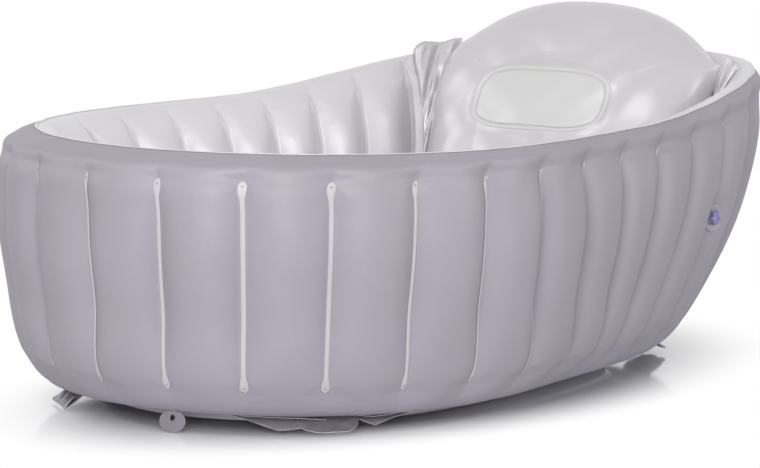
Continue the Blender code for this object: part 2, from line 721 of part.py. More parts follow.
def make_valve(prefix, frame):
    """Flange, sliding stem, hinged cap and check flap of one valve."""
    bore, flange, bead = VALVE_BORE_RADIUS, VALVE_FLANGE_RADIUS, VALVE_BEAD_RADIUS
    profile = [(bore, -VALVE_FLANGE_THICK), (flange, -VALVE_FLANGE_THICK), (flange, 0.0),
               (bead + VALVE_BEAD_WIDTH, 0.0), (bead, VALVE_BEAD_RISE),
               (bead - VALVE_BEAD_WIDTH, 0.0), (bore, 0.0)]
    name = f"{prefix}_flange"
    add_object(name, turned_mesh(name, profile), VALVE_FILM, frame)

    outer = bore - VALVE_SLIDE_GAP
    inner = outer - VALVE_TUBE_WALL
    lip_top = SEAT_GAP + VALVE_LIP_THICK
    profile = [(inner, -VALVE_DEPTH), (outer, -VALVE_DEPTH), (outer, SEAT_GAP),
               (VALVE_LIP_RADIUS, SEAT_GAP), (VALVE_LIP_RADIUS, lip_top), (inner, lip_top)]
    name = f"{prefix}_stem"
    add_object(name, turned_mesh(name, profile), VALVE_FILM, frame)

    seat = lip_top + SEAT_GAP
    pin = inner - CAP_PIN_GAP
    crown = seat + CAP_THICK
    profile = [(0.0, lip_top - CAP_PIN_LENGTH), (pin, lip_top - CAP_PIN_LENGTH), (pin, seat),
               (CAP_RADIUS, seat), (CAP_RADIUS, crown - CAP_LOBE),
               (CAP_RADIUS - CAP_LOBE, crown), (0.0, crown)]
    name = f"{prefix}_cap"
    star = turned_mesh(name, profile, CAP_LOBES * CAP_STEPS_PER_LOBE, cap_lobe)
    place_at(add_object(name, star, CAP_PLASTIC), frame, (CAP_HINGE_REACH, 0.0, lip_top))

    under = -VALVE_DEPTH - SEAT_GAP
    name = f"{prefix}_flap"
    flap_mesh = cylinder_mesh(name, FLAP_RADIUS, under - FLAP_THICK, under)
    place_at(add_object(name, flap_mesh, VALVE_FILM), frame, (FLAP_RADIUS, 0.0, under))


def bore_film(film, prefix, frame, radius, depth):
    """Cut a hole for a tube through the film it passes."""
    mesh = cylinder_mesh(f"{prefix}_hole", radius, -depth, depth)
    combine(film, add_tool(f"{prefix}_hole", mesh, frame), "DIFFERENCE")


def wall_valve_frame():
    """Frame of the wall's valve, astride the footward flank of its rib."""
    crease = (WALL_VALVE_RIB + 0.5) / RIB_COUNT
    fractions = crease + np.array(RIB_STEP_SHARES[:3]) / RIB_COUNT
    upper, lower = outer_web_line(fractions)[2:4]
    left, ridge, right = (upper + lower) / 2.0
    down = Vector(lower[1] - upper[1]).normalized()
    first = down.cross(Vector(ridge - left)).normalized()
    second = down.cross(Vector(right - ridge)).normalized()
    outward = (first + second).normalized()
    along = Vector(right - ridge).normalized()
    stand = VALVE_FLANGE_THICK + SEAT_GAP
    origin = Vector(ridge) + along * WALL_VALVE_SHIFT
    origin += outward * (stand - (origin - Vector(ridge)).dot(outward))
    return axis_frame(origin, outward, along)


def back_valve_frame():
    """Frame of the backrest's valve, high on the sloping rear film."""
    outer_share, inner_share = BACK_REAR_RING_SHARES[2:4]
    reach = PANEL_DROP + BACK_DOME_RISE
    rear = [np.array(back_point(0.0, PANEL_UP + reach * share,
                                -SEAM_GAP - back_depth(share, BACK_REAR_DEPTH)))
            for share in (outer_share, inner_share)]
    along = Vector(rear[0] - rear[1])
    rise = PANEL_DROP + BACK_VALVE_RISE
    share = (rise - reach * inner_share) / (reach * (outer_share - inner_share))
    outward = BACK_SIDE.cross(along).normalized()
    stand = VALVE_FLANGE_THICK + SEAT_GAP
    return axis_frame(Vector(rear[1]) + along * share + outward * stand, outward, BACK_SIDE)


def make_valves(outer_skin, rear_skin, floor_top):
    """The three valves, one for each air chamber, and the holes that they pass."""
    stand = VALVE_FLANGE_THICK + SEAT_GAP
    floor_place = (FLOOR_VALVE_X, FLOOR_VALVE_Y, FLOOR_TOP_HEIGHT + stand)
    places = [("wall_valve", outer_skin, wall_valve_frame()),
              ("backrest_valve", rear_skin, back_valve_frame()),
              ("floor_valve", floor_top, axis_frame(floor_place, (0, 0, 1), (-1, 0, 0)))]
    for prefix, film, frame in places:
        make_valve(prefix, frame)
        bore_film(film, prefix, frame, VALVE_BORE_RADIUS + SEAT_GAP, VALVE_DEPTH)


def make_drain(floor_top, bottom_sheet):
    """Drain tube through the floor and its push-in plug with a grip."""
    frame = Matrix.Translation((DRAIN_X, 0.0, FLOOR_TOP_HEIGHT))
    bore = DRAIN_BORE_RADIUS
    tube = bore + DRAIN_WALL
    low, high = SEAT_GAP, SEAT_GAP + DRAIN_FLANGE_THICK
    foot = SEAT_GAP - FLOOR_TOP_HEIGHT
    profile = [(bore, foot), (tube, foot), (tube, low), (DRAIN_FLANGE_RADIUS, low),
               (DRAIN_FLANGE_RADIUS, high), (bore, high)]
    add_object("drain_socket", turned_mesh("drain_socket", profile), VALVE_FILM, frame)
    for film in (floor_top, bottom_sheet):
        bore_film(film, f"drain_{film.name}", frame, tube + SEAT_GAP, FLOOR_TOP_HEIGHT + FILM)

    seat = high + SEAT_GAP
    top = seat + PLUG_HEAD_THICK
    stop = bore - PLUG_FIT
    profile = [(0.0, high - PLUG_DEPTH), (stop - PLUG_TAPER, high - PLUG_DEPTH), (stop, seat),
               (PLUG_HEAD_RADIUS, seat), (PLUG_HEAD_RADIUS, top), (0.0, top)]
    plug = add_object("drain_plug", turned_mesh("drain_plug", profile), CAP_PLASTIC, frame)
    grip = tab_mesh("plug_grip", PLUG_GRIP_WIDTH, PLUG_GRIP_HEIGHT + PLUG_HEAD_THICK / 2.0,
                    PLUG_GRIP_THICK)
    raised = Matrix.Translation((0.0, 0.0, seat + PLUG_HEAD_THICK / 2.0))
    turned = Matrix.Rotation(math.pi, 4, "X")
    combine(plug, add_tool("plug_grip", grip, frame @ raised @ turned), "UNION")


# Tabs and skirt

def tab_mesh(name, width, length, thick):
    """A closed round-ended tab that hangs down from z = 0 in the XZ plane of its frame."""
    radius = width / 2.0
    drop = max(0.0, length - radius)
    depth = length - drop
    turns = np.linspace(0.0, math.pi, TAB_STEPS + 1)
    outline = [(radius, 0.0)] * (drop > 0.0)
    outline += [(radius * math.cos(a), -drop - depth * math.sin(a)) for a in turns]
    outline += [(-radius, 0.0)] * (drop > 0.0)
    build = bmesh.new()
    front, rear = ([build.verts.new((x, y, z)) for x, z in outline]
                   for y in (-thick / 2.0, thick / 2.0))
    for step in range(len(outline)):
        after = (step + 1) % len(outline)
        build.faces.new((front[step], front[after], rear[after], rear[step]))
    build.faces.new(front)
    build.faces.new(rear)
    bmesh.ops.recalc_face_normals(build, faces=build.faces)
    return mesh_from(build, name)


def under_wall_frame(fraction, reach, tilt):
    """Frame on the wall's underside: +X along the wall, +Y inwards, tilted round X."""
    points, outward = plan_at(np.array([fraction]), draw_in(UNDERSIDE_LINE, reach))
    x_axis = Vector((-outward[0][1], outward[0][0], 0.0))
    y_axis = Vector((-outward[0][0], -outward[0][1], 0.0))
    slope = (UNDERSIDE_HEIGHT - BASE_SEAM_HEIGHT) * reach / BASE_SEAM_INSET
    frame = Matrix((x_axis, y_axis, Vector((0.0, 0.0, 1.0)))).transposed().to_4x4()
    lowered = UNDERSIDE_HEIGHT - slope - SEAM_GAP - TAB_THICK / 2.0 * abs(math.sin(tilt))
    frame.translation = Vector((points[0][0], points[0][1], lowered))
    return frame @ Matrix.Rotation(tilt, 4, "X")


def make_tabs():
    """The foot tab with its hole, the two corner tabs and the head tab."""
    frame = under_wall_frame(FOOT_TAB_PLACE_SHARE, TAB_REACH, 0.0)
    mesh = tab_mesh("foot_tab", FOOT_TAB_WIDTH, FOOT_TAB_LENGTH, TAB_THICK)
    tab = add_object("foot_tab", mesh, GREY_FILM, frame)
    hole = cylinder_mesh("foot_tab_hole", FOOT_TAB_HOLE_RADIUS, -FILM, FILM)
    lowered = Matrix.Translation((0.0, 0.0, -FOOT_TAB_HOLE_DROP))
    laid = Matrix.Rotation(math.pi / 2.0, 4, "X")
    combine(tab, add_tool("foot_tab_hole", hole, frame @ lowered @ laid), "DIFFERENCE")

    for name, place in (("near_corner_tab", NEAR_CORNER_PLACE_SHARE),
                        ("far_corner_tab", FAR_CORNER_PLACE_SHARE)):
        frame = under_wall_frame(place, CORNER_TAB_REACH, -CORNER_TAB_TILT)
        mesh = tab_mesh(name, CORNER_TAB_WIDTH, CORNER_TAB_LENGTH, TAB_THICK)
        add_object(name, mesh, GREY_FILM, frame)

    frame = under_wall_frame(HEAD_TAB_PLACE_SHARE, TAB_REACH, -HEAD_TAB_TILT)
    mesh = tab_mesh("head_tab", HEAD_TAB_WIDTH, HEAD_TAB_LENGTH, TAB_THICK)
    add_object("head_tab", mesh, GREY_FILM, frame)


def make_skirt():
    """The ruffled weld flange that hangs under the wall near the foot's corner."""
    share = np.linspace(0.0, 1.0, SKIRT_STEPS + 1)
    fractions = SKIRT_START_SHARE + (SKIRT_END_SHARE - SKIRT_START_SHARE) * share
    swell = np.sin(math.pi * share)
    wave = np.sin(FULL_TURN * SKIRT_RUFFLES_SHARE * share) * swell
    line = draw_in(UNDERSIDE_LINE, SKIRT_REACH)
    top = BASE_SEAM_HEIGHT - FILM / 2.0
    rows = []
    for down in (0.0, 0.5, 1.0):
        points = ring(fractions, line, SKIRT_RUFFLE * down * wave, top)
        points[:, 2] -= down * (FILM + (SKIRT_DEPTH - FILM) * swell)
        rows.append(points)
    mesh = band_mesh("base_seam_skirt", rows, closed=False)
    thicken(add_object("base_seam_skirt", mesh, GREY_FILM), 0.0)


def build_part():
    """Build every piece of the bathtub."""
    for piece in list(bpy.data.objects):
        bpy.data.objects.remove(piece)
    outer_skin = make_wall_outer_skin()
    make_wall_inner_skin()
    make_wall_webs()
    floor_top = make_floor_top_skin()
    bottom_sheet = make_floor_bottom_sheet()
    make_floor_webs()
    rear_skin = make_backrest()
    make_backrest_panel()
    make_gusset("gusset_near", -1.0)
    make_gusset("gusset_far", 1.0)
    make_valves(outer_skin, rear_skin, floor_top)
    make_drain(floor_top, bottom_sheet)
    make_tabs()
    make_skirt()


build_part()
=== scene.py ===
"""Looks of the inflatable baby bathtub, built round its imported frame.

The frame of reference is the tub's own: +X to the head end with the backrest, -Y the near
side with the wall's valve, +Z up, z = 0 on the ground. Lengths are in metres. Every film
is a surface over two parameters, worked out as whole arrays.
"""
from __future__ import annotations

import logging
import math
from collections.abc import Callable, Sequence
from dataclasses import dataclass
from enum import Enum

import bpy
import numpy as np
from mathutils import Matrix, Vector


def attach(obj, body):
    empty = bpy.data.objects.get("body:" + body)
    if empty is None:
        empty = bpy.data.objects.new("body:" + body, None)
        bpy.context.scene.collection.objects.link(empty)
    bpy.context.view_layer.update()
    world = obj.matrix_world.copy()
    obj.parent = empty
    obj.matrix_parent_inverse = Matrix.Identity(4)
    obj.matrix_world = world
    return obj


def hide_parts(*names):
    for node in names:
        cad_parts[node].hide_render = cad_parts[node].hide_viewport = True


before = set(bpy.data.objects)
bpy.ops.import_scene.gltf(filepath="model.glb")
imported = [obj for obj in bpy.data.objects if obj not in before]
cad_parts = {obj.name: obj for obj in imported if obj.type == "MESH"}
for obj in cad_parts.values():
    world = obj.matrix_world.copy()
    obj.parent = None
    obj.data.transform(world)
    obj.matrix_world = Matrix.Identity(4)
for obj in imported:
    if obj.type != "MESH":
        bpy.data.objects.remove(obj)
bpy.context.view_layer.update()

Array = np.ndarray
Surface = Callable[[Array, Array], Array]
Pair = tuple[float, float]
Triple = tuple[float, float, float]
Colour = Triple

LOG = logging.getLogger("bathtub")
ROOT = "tub"
FULL_TURN = 2.0 * math.pi
SHARP_ANGLE = math.radians(48.0)
WHITE = (1.0, 1.0, 1.0, 1.0)
NOISE_MEAN = 0.5
COLOUR_MIX_INPUTS = (0, 6, 7)
COLOUR_MIX_OUTPUT = 2
WAVE_RATES = (0.7, 3.0)
WAVE_GAIN = 1.6
SECOND_CUT = 0.3
LONGEST_CUT = 0.3
AS_COMPLEX = np.array([1.0, 1.0j])


class Slot(Enum):
    """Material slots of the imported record."""

    OUTER = "outer_film"
    PEARL = "pearl_film"
    INNER = "inner_film"
    VALVE = "valve_vinyl"
    CAP = "cap_vinyl"
    PANEL = "panel_film"


class Side(Enum):
    """The two long sides of the tub, by the sign of y."""

    NEAR = -1.0
    FAR = 1.0


# Shader maths

class Value:
    """An output socket whose operators add Math nodes to its tree."""

    def __init__(self, tree: "Shading", socket: bpy.types.NodeSocket) -> None:
        """Keep the tree and the socket that carries the value."""
        self.tree = tree
        self.socket = socket

    def math(self, operation: str, *others: "Value | float", swap: bool = False) -> "Value":
        """Add one Math node.

        Args:
            operation: the Math node's operation.
            others: the operands after this one.
            swap: whether the first other operand comes before this one.

        Returns:
            The node's output.
        """
        terms: list[Value | float] = [self, *others]
        if swap:
            terms[0], terms[1] = terms[1], terms[0]
        return self.tree.node("ShaderNodeMath", {"operation": operation}, dict(enumerate(terms)))

    def __add__(self, other: "Value | float") -> "Value":
        """This value plus another."""
        return self.math("ADD", other)

    __radd__ = __add__

    def __sub__(self, other: "Value | float") -> "Value":
        """This value less another."""
        return self.math("SUBTRACT", other)

    def __rsub__(self, other: "Value | float") -> "Value":
        """Another value less this one."""
        return self.math("SUBTRACT", other, swap=True)

    def __mul__(self, other: "Value | float") -> "Value":
        """This value times another."""
        return self.math("MULTIPLY", other)

    __rmul__ = __mul__

    def stepped(self, low: float, high: float) -> "Value":
        """A smooth rise from 0 at low to 1 at high."""
        ends = {"Value": self, "From Min": low, "From Max": high}
        return self.tree.node("ShaderNodeMapRange", {"interpolation_type": "SMOOTHSTEP"}, ends)


class Shading:
    """The nodes of one material or world."""

    def __init__(self, owner: bpy.types.Material | bpy.types.World) -> None:
        """Start the owner's nodes afresh."""
        self.owner = owner
        self.owner.use_nodes = True
        self.tree = self.owner.node_tree
        self.tree.nodes.clear()

    def node(self, kind: str, settings: dict[str, object] | None = None,
             inputs: dict[str | int, object] | None = None, output: str | int = 0) -> Value:
        """Add a node, its settings first and its inputs after them.

        Args:
            kind: the node's type.
            settings: its attributes.
            inputs: values or links by socket name or number.
            output: the socket that is given back.

        Returns:
            The chosen output.
        """
        made = self.tree.nodes.new(kind)
        for key, setting in (settings or {}).items():
            setattr(made, key, setting)
        for key, given in (inputs or {}).items():
            if isinstance(given, Value):
                self.tree.links.new(given.socket, made.inputs[key])
            else:
                made.inputs[key].default_value = given
        return Value(self, made.outputs[output] if made.outputs else None)

    def place(self) -> Value:
        """The Object coordinates."""
        return self.node("ShaderNodeTexCoord", output="Object")

    def noise(self, where: Value, scale: float, detail: float = 2.0, rough: float = 0.5) -> Value:
        """A noise value of about 0.5 on average.

        Args:
            where: the coordinates.
            scale: patches per metre.
            detail: octaves of finer noise.
            rough: the strength of those octaves.

        Returns:
            The noise.
        """
        inputs = {"Vector": where, "Scale": scale, "Detail": detail, "Roughness": rough}
        return self.node("ShaderNodeTexNoise", None, inputs)

    def mix(self, share: Value | float, first: object, second: object) -> Value:
        """A colour a share of the way from the first to the second."""
        inputs = dict(zip(COLOUR_MIX_INPUTS, (share, first, second)))
        return self.node("ShaderNodeMix", {"data_type": "RGBA"}, inputs, COLOUR_MIX_OUTPUT)

    def stretched(self, where: Value, scale: Triple) -> Value:
        """Coordinates stretched along each axis."""
        return self.node("ShaderNodeMapping", None, {"Vector": where, "Scale": scale})


def tone(red: int, green: int, blue: int) -> Colour:
    """A screen colour of 0 to 255 as linear light, by the usual screen curve."""
    shares = (red / 255.0, green / 255.0, blue / 255.0)
    return tuple(s / 12.92 if s <= 0.04045 else ((s + 0.055) / 1.055) ** 2.4 for s in shares)


@dataclass(frozen=True)
class FilmFinish:
    """Calendered vinyl film: cloudy colour, fine grain and faint handling creases."""

    name: str
    colour: Colour
    cloud: Colour
    roughness: float
    roughness_spread: float = 0.06
    cloud_scale: float = 7.0
    cloud_range: Pair = (0.30, 0.72)
    scuff_fineness: float = 6.0
    grain_scale: float = 2600.0
    grain_height: float = 0.00002
    crease_scale: float = 38.0
    crease_height: float = 0.00035
    ridge_width: float = 0.10
    ridge_share: float = 0.35
    metallic: float = 0.0
    coat: float = 0.0
    coat_roughness: float = 0.2
    ior: float = 1.52

    def make(self) -> bpy.types.Material:
        """Build the material.

        Returns:
            The material, with its colour, roughness and relief from nodes.
        """
        shade = Shading(bpy.data.materials.new(self.name))
        where = shade.place()
        cloud = shade.noise(where, self.cloud_scale, detail=3.0, rough=0.55)
        scuff = shade.noise(where, self.cloud_scale * self.scuff_fineness, detail=4.0, rough=0.6)
        fold = shade.noise(where, self.crease_scale, detail=2.0, rough=0.4)
        grain = shade.noise(where, self.grain_scale, detail=1.0)
        patch = cloud.stepped(*self.cloud_range)
        colour = shade.mix(patch, (*self.colour, 1.0), (*self.cloud, 1.0))
        gloss = self.roughness + (scuff - NOISE_MEAN) * (2.0 * self.roughness_spread)
        ridge = 1.0 - (fold - NOISE_MEAN).math("ABSOLUTE").stepped(0.0, self.ridge_width)
        height = ridge * (self.crease_height * self.ridge_share) + grain * self.grain_height
        height = height + fold * self.crease_height
        relief = shade.node("ShaderNodeBump", None, {"Distance": 1.0, "Strength": 1.0, "Height": height})
        shader = shade.node("ShaderNodeBsdfPrincipled", None, {
            "Base Color": colour, "Roughness": gloss, "Metallic": self.metallic, "IOR": self.ior,
            "Coat Weight": self.coat, "Coat Roughness": self.coat_roughness, "Normal": relief})
        shade.node("ShaderNodeOutputMaterial", None, {"Surface": shader})
        return shade.owner


GREY_FILM = FilmFinish("grey_outer_film", tone(167, 163, 173), tone(173, 169, 180), 0.50,
                       coat=0.04, coat_roughness=0.35)
# Painted light and shade: the inner wall, backrest and corner films are one pearl film in lighter and darker
# copies; the inner film is painted lighter to make up for the dimmer light inside the tub.
PEARL_FILM = FilmFinish("pearl_inner_film_painted_light", tone(229, 227, 232), tone(234, 232, 236), 0.37,
                        metallic=0.25, coat=0.20, coat_roughness=0.28)
BACK_FILM = FilmFinish("pearl_backrest_film", tone(216, 213, 216), tone(220, 217, 220), 0.33,
                       metallic=0.15, coat=0.45, coat_roughness=0.22, crease_height=0.00014)
CORNER_FILM = FilmFinish("pearl_corner_film", tone(214, 211, 214), tone(222, 219, 222), 0.28,
                         metallic=0.22, coat=0.35, coat_roughness=0.18)
WELD_FILM = FilmFinish("welded_strip_film", tone(204, 200, 203), tone(210, 206, 209), 0.36)
# Painted shade: the flange and tab film is darker than the outer grey film because it hangs in the shade
# under the tub; its cut rim keeps the lighter weld film.
SHADED_FLANGE_FILM = FilmFinish("weld_flange_film_painted_shade", tone(134, 131, 140), tone(146, 143, 151), 0.34,
                         coat=0.15, coat_roughness=0.25)
CLEAR_FILM = FilmFinish("clear_web_film", tone(206, 204, 209), tone(214, 212, 216), 0.30)
VALVE_VINYL = FilmFinish("clear_valve_vinyl", tone(172, 168, 178), tone(180, 176, 188), 0.24,
                         coat=0.4, coat_roughness=0.12, crease_height=0.00004)
CAP_VINYL = FilmFinish("lilac_cap_vinyl", tone(116, 112, 186), tone(150, 146, 208), 0.14,
                       coat=0.8, coat_roughness=0.05, crease_height=0.00003, cloud_scale=260.0)
PANEL_FILM = FilmFinish("bare_panel_film", tone(231, 231, 230), tone(234, 234, 233), 0.30,
                        coat=0.3, coat_roughness=0.18, crease_height=0.00012)


class Palette:
    """One material of each finish, made when it is first asked for."""

    def __init__(self) -> None:
        """Start with nothing made."""
        self.made: dict[str, bpy.types.Material] = {}

    def material(self, finish: FilmFinish) -> bpy.types.Material:
        """The material of a finish."""
        if finish.name not in self.made:
            self.made[finish.name] = finish.make()
        return self.made[finish.name]


PALETTE = Palette()


# Arrays, meshes and objects

def linked(name: str, data: bpy.types.ID) -> bpy.types.Object:
    """A new object in the scene that shows the data."""
    made = bpy.data.objects.new(name, data)
    bpy.context.scene.collection.objects.link(made)
    return made


def smooth_step(low: float, high: float, value: Array) -> Array:
    """A smooth rise from 0 at low to 1 at high: 3s^2 - 2s^3 of the clipped share s."""
    share = np.clip((value - low) / (high - low), 0.0, 1.0)
    return share * share * (3.0 - 2.0 * share)


def bell(value: Array, width: float) -> Array:
    """A bell of height 1 round zero: exp(-(value / width)^2)."""
    return np.exp(-(value / width) ** 2)


def through_keys(places: Array, keys: Array, samples: Array) -> Array:
    """Cubic curve through keys, with slopes from the parabola through each three keys.

    Args:
        places: where the keys lie, rising.
        keys: one row of values for each key.
        samples: where the curve is wanted, in any shape.

    Returns:
        Values of the samples' shape with the keys' columns last.
    """
    slopes = np.gradient(keys, places, axis=0)
    index = np.clip(np.searchsorted(places, samples, side="right") - 1, 0, len(places) - 2)
    width = places[index + 1] - places[index]
    share = ((samples - places[index]) / width)[..., None]
    width = width[..., None]
    first, second = keys[index], keys[index + 1]
    start, end = slopes[index] * width, slopes[index + 1] * width
    square, cube = share ** 2, share ** 3
    return ((2 * cube - 3 * square + 1) * first + (cube - 2 * square + share) * start
            + (3 * square - 2 * cube) * second + (cube - square) * end)


def waves(first: Array, second: Array, seed: int, count: int = 6) -> Array:
    """A slow uneven ripple of about -1 to 1: a sum of sines in two directions.

    Args:
        first: first coordinate, in wavelengths of the slowest wave.
        second: second coordinate.
        seed: picks the waves.
        count: how many waves are added.

    Returns:
        The ripple at each point.
    """
    pick = np.random.default_rng(seed)
    rates = pick.uniform(*WAVE_RATES, (count, 2)) * pick.choice([-1.0, 1.0], (count, 2))
    phases = pick.uniform(0.0, FULL_TURN, count)
    total = np.zeros(np.broadcast(first, second).shape)
    for (rate, other), phase in zip(rates, phases):
        total = total + np.sin(FULL_TURN * (first * rate + second * other) + phase)
    return total / count * WAVE_GAIN


@dataclass
class Shell:
    """Points with the quads and the triangles between them."""

    points: Array
    quads: Array
    fans: Array

    @classmethod
    def grid(cls, points: Array, wrap: bool = False, loop: bool = False,
             poles: tuple[bool, bool] = (False, False), flip: bool = False) -> "Shell":
        """A shell from rows and columns of points.

        Args:
            points: rows by columns by 3.
            wrap: whether the last column joins the first.
            loop: whether the last row joins the first.
            poles: whether the first and the last row close to a point in their middle.
            flip: whether the faces turn round.

        Returns:
            The shell.
        """
        rows, columns = points.shape[:2]
        step = np.arange(columns if wrap else columns - 1)
        after = (step + 1) % columns
        row = np.arange(rows if loop else rows - 1)[:, None]
        low, high = row * columns, (row + 1) % rows * columns
        quads = np.stack([low + step, high + step, high + after, low + after], -1).reshape(-1, 4)
        places, fans = points.reshape(-1, 3), np.empty((0, 3), dtype=int)
        for end, edge in enumerate((0, (rows - 1) * columns)):
            if poles[end]:
                tip = np.full(len(step), len(places))
                places = np.vstack([places, points[-end].mean(axis=0)])
                pair = (edge + step, edge + after)
                fans = np.vstack([fans, np.stack([pair[1 - end], tip, pair[end]], -1)])
        order = -1 if flip else 1
        return cls(places, quads[:, ::order], fans[:, ::order])

    @classmethod
    def joined(cls, shells: Sequence["Shell"]) -> "Shell":
        """Shells put together as one."""
        starts = np.cumsum([0] + [len(shell.points) for shell in shells[:-1]])
        return cls(np.vstack([shell.points for shell in shells]),
                   np.vstack([shell.quads + start for shell, start in zip(shells, starts)]),
                   np.vstack([shell.fans + start for shell, start in zip(shells, starts)]))

    def outward(self) -> "Shell":
        """The shell with its faces outward: the sum of a.(b x c) over its triangles is positive."""
        corners = np.vstack([self.fans, self.quads[:, :3], self.quads[:, [0, 2, 3]]])
        first, second, third = (self.points[corners[:, index]] for index in range(3))
        order = 1 if np.einsum("ij,ij->", first, np.cross(second, third)) > 0.0 else -1
        return Shell(self.points, self.quads[:, ::order], self.fans[:, ::order])

    def placed(self, where: Matrix) -> "Shell":
        """The shell moved from a frame of reference to the tub's."""
        turn = np.array(where.to_3x3())
        return Shell(self.points @ turn.T + np.array(where.translation), self.quads, self.fans)

    def mesh(self, name: str) -> bpy.types.Mesh:
        """A smooth-shaded mesh, sharp where its faces turn far."""
        mesh = bpy.data.meshes.new(name)
        mesh.from_pydata(self.points.tolist(), [], self.quads.tolist() + self.fans.tolist())
        mesh.shade_smooth()
        mesh.set_sharp_from_angle(angle=SHARP_ANGLE)
        return mesh


def normals_of(surface: Surface, first: Array, second: Array, step: float = 1e-4) -> Array:
    """Unit normals of a surface: the cross product of its two slopes."""
    along = surface(first + step, second) - surface(first - step, second)
    down = surface(first, second + step) - surface(first, second - step)
    normal = np.cross(down, along)
    return normal / np.linalg.norm(normal, axis=-1, keepdims=True)


def zigzag(value: Array) -> Array:
    """A sharp wave of -1 to 1: 4|s - 1/2| - 1 of the value's fraction s."""
    return 4.0 * np.abs(value - np.floor(value) - 0.5) - 1.0


def even_turns(steps: int) -> Array:
    """Even angles round a full turn."""
    return np.arange(steps) * FULL_TURN / steps


def power_ring(turn: Array, power: float | Array) -> tuple[Array, Array]:
    """A superellipse of half axes 1: sign(c)|c|^(2/p) and sign(s)|s|^(2/p)."""
    cosine, sine = np.cos(turn), np.sin(turn)
    return (np.sign(cosine) * np.abs(cosine) ** (2.0 / power),
            np.sign(sine) * np.abs(sine) ** (2.0 / power))


def rounded(profile: Sequence[Pair], radius: float, loop: bool = False) -> Array:
    """A profile whose corners are cut twice, a radius along each side or at most a share of it."""
    points = np.array(profile)
    for cut in (radius, radius * SECOND_CUT):
        ends = np.vstack([points, points[:1]]) if loop else points
        side = np.diff(ends, axis=0)
        share = np.minimum(cut / np.linalg.norm(side, axis=1, keepdims=True), LONGEST_CUT)
        inside = np.stack([ends[:-1] + side * share, ends[1:] - side * share], 1).reshape(-1, 2)
        points = inside if loop else np.vstack([points[:1], inside, points[-1:]])
    return points


def lathe(profile: Array, loop: bool = False, steps: int = 72,
          lobes: Callable[[Array, Array], Array] | None = None) -> Shell:
    """A profile carried round +Z: (r cos t, r sin t, h).

    Args:
        profile: radius and height pairs, from the axis to the axis unless it loops.
        loop: whether the profile closes on itself.
        steps: points round the axis.
        lobes: what is added to the radius, from the turn and the radius.

    Returns:
        The closed shell.
    """
    turn = even_turns(steps)
    radius = profile[:, :1] + np.zeros(steps)
    if lobes is not None:
        radius = radius + lobes(turn, radius)
    height = profile[:, 1:] + np.zeros(steps)
    rings = np.stack([radius * np.cos(turn), radius * np.sin(turn), height], -1)
    return Shell.grid(rings, wrap=True, loop=loop, poles=(not loop, not loop)).outward()


def frame_at(origin: Triple, x_axis: Triple, z_axis: Triple) -> Matrix:
    """The matrix of a frame of reference from its origin, X and Z."""
    across, out = Vector(x_axis), Vector(z_axis)
    where = Matrix((across, out.cross(across), out)).transposed().to_4x4()
    where.translation = Vector(origin)
    return where


WALL_VALVE = frame_at((0.228513, -0.249548, 0.162854), (0.985988, -0.155918, 0.059308),
                      (-0.154183, -0.987497, -0.03282))
BACK_VALVE = frame_at((0.433114, 0.0, 0.314384), (0.0, 1.0, 0.0), (0.952809, 0.0, -0.303571))
SEAT_REACH = (0.016, 0.036)
SEAT_DEPTH = -0.0010


def seated(points: Array, where: Matrix) -> Array:
    """A film's points, flattened to the valve's disc where it is welded on."""
    turn = np.array(where.to_3x3())
    local = (points - np.array(where.translation)) @ turn
    away = np.hypot(local[..., 0], local[..., 1])
    flat = (1.0 - smooth_step(*SEAT_REACH, away)) * (np.abs(local[..., 2]) < SEAT_REACH[1])
    local[..., 2] += flat * (SEAT_DEPTH - local[..., 2])
    return local @ turn.T + np.array(where.translation)


# Pieces

@dataclass
class SubAssembly:
    """What each sub-assembly shares: it places its pieces on a body."""

    body: str = ROOT

    def add(self, name: str, shell: Shell, finish: FilmFinish, slot: Slot,
            replaces: Sequence[str] = (), body: str | None = None) -> bpy.types.Object:
        """Link a shell as a piece that rides on a body.

        Args:
            name: the piece's name.
            shell: its surface, in place.
            finish: its material.
            slot: the record's slot; not used.
            replaces: the CAD nodes that it stands for.
            body: the body it rides on, if not the sub-assembly's own.

        Returns:
            The piece.
        """
        piece = linked(name, shell.mesh(name))
        piece.data.materials.append(PALETTE.material(finish))
        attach(piece, body or self.body)
        if replaces:
            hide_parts(*replaces)
        LOG.info("%s: %d faces", name, len(piece.data.polygons))
        return piece

    @staticmethod
    def thicken(piece: bpy.types.Object, thickness: float, offset: float = -1.0,
                rim: FilmFinish | None = None) -> None:
        """Give an open film its thickness, behind its face unless told otherwise.

        Args:
            piece: the film.
            thickness: in metres.
            offset: -1 behind the face and 0 on both sides of it.
            rim: the finish of its cut edge, if it differs.
        """
        shell = piece.modifiers.new("thickness", "SOLIDIFY")
        shell.thickness = thickness
        shell.offset = offset
        shell.use_even_offset = False
        if rim is not None:
            piece.data.materials.append(PALETTE.material(rim))
            shell.material_offset_rim = 1

    @staticmethod
    def dress(node: str, finish: FilmFinish) -> None:
        """Give a CAD node its material."""
        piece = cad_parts[node]
        piece.data.materials.clear()
        piece.data.materials.append(PALETTE.material(finish))


# Plan of the tub

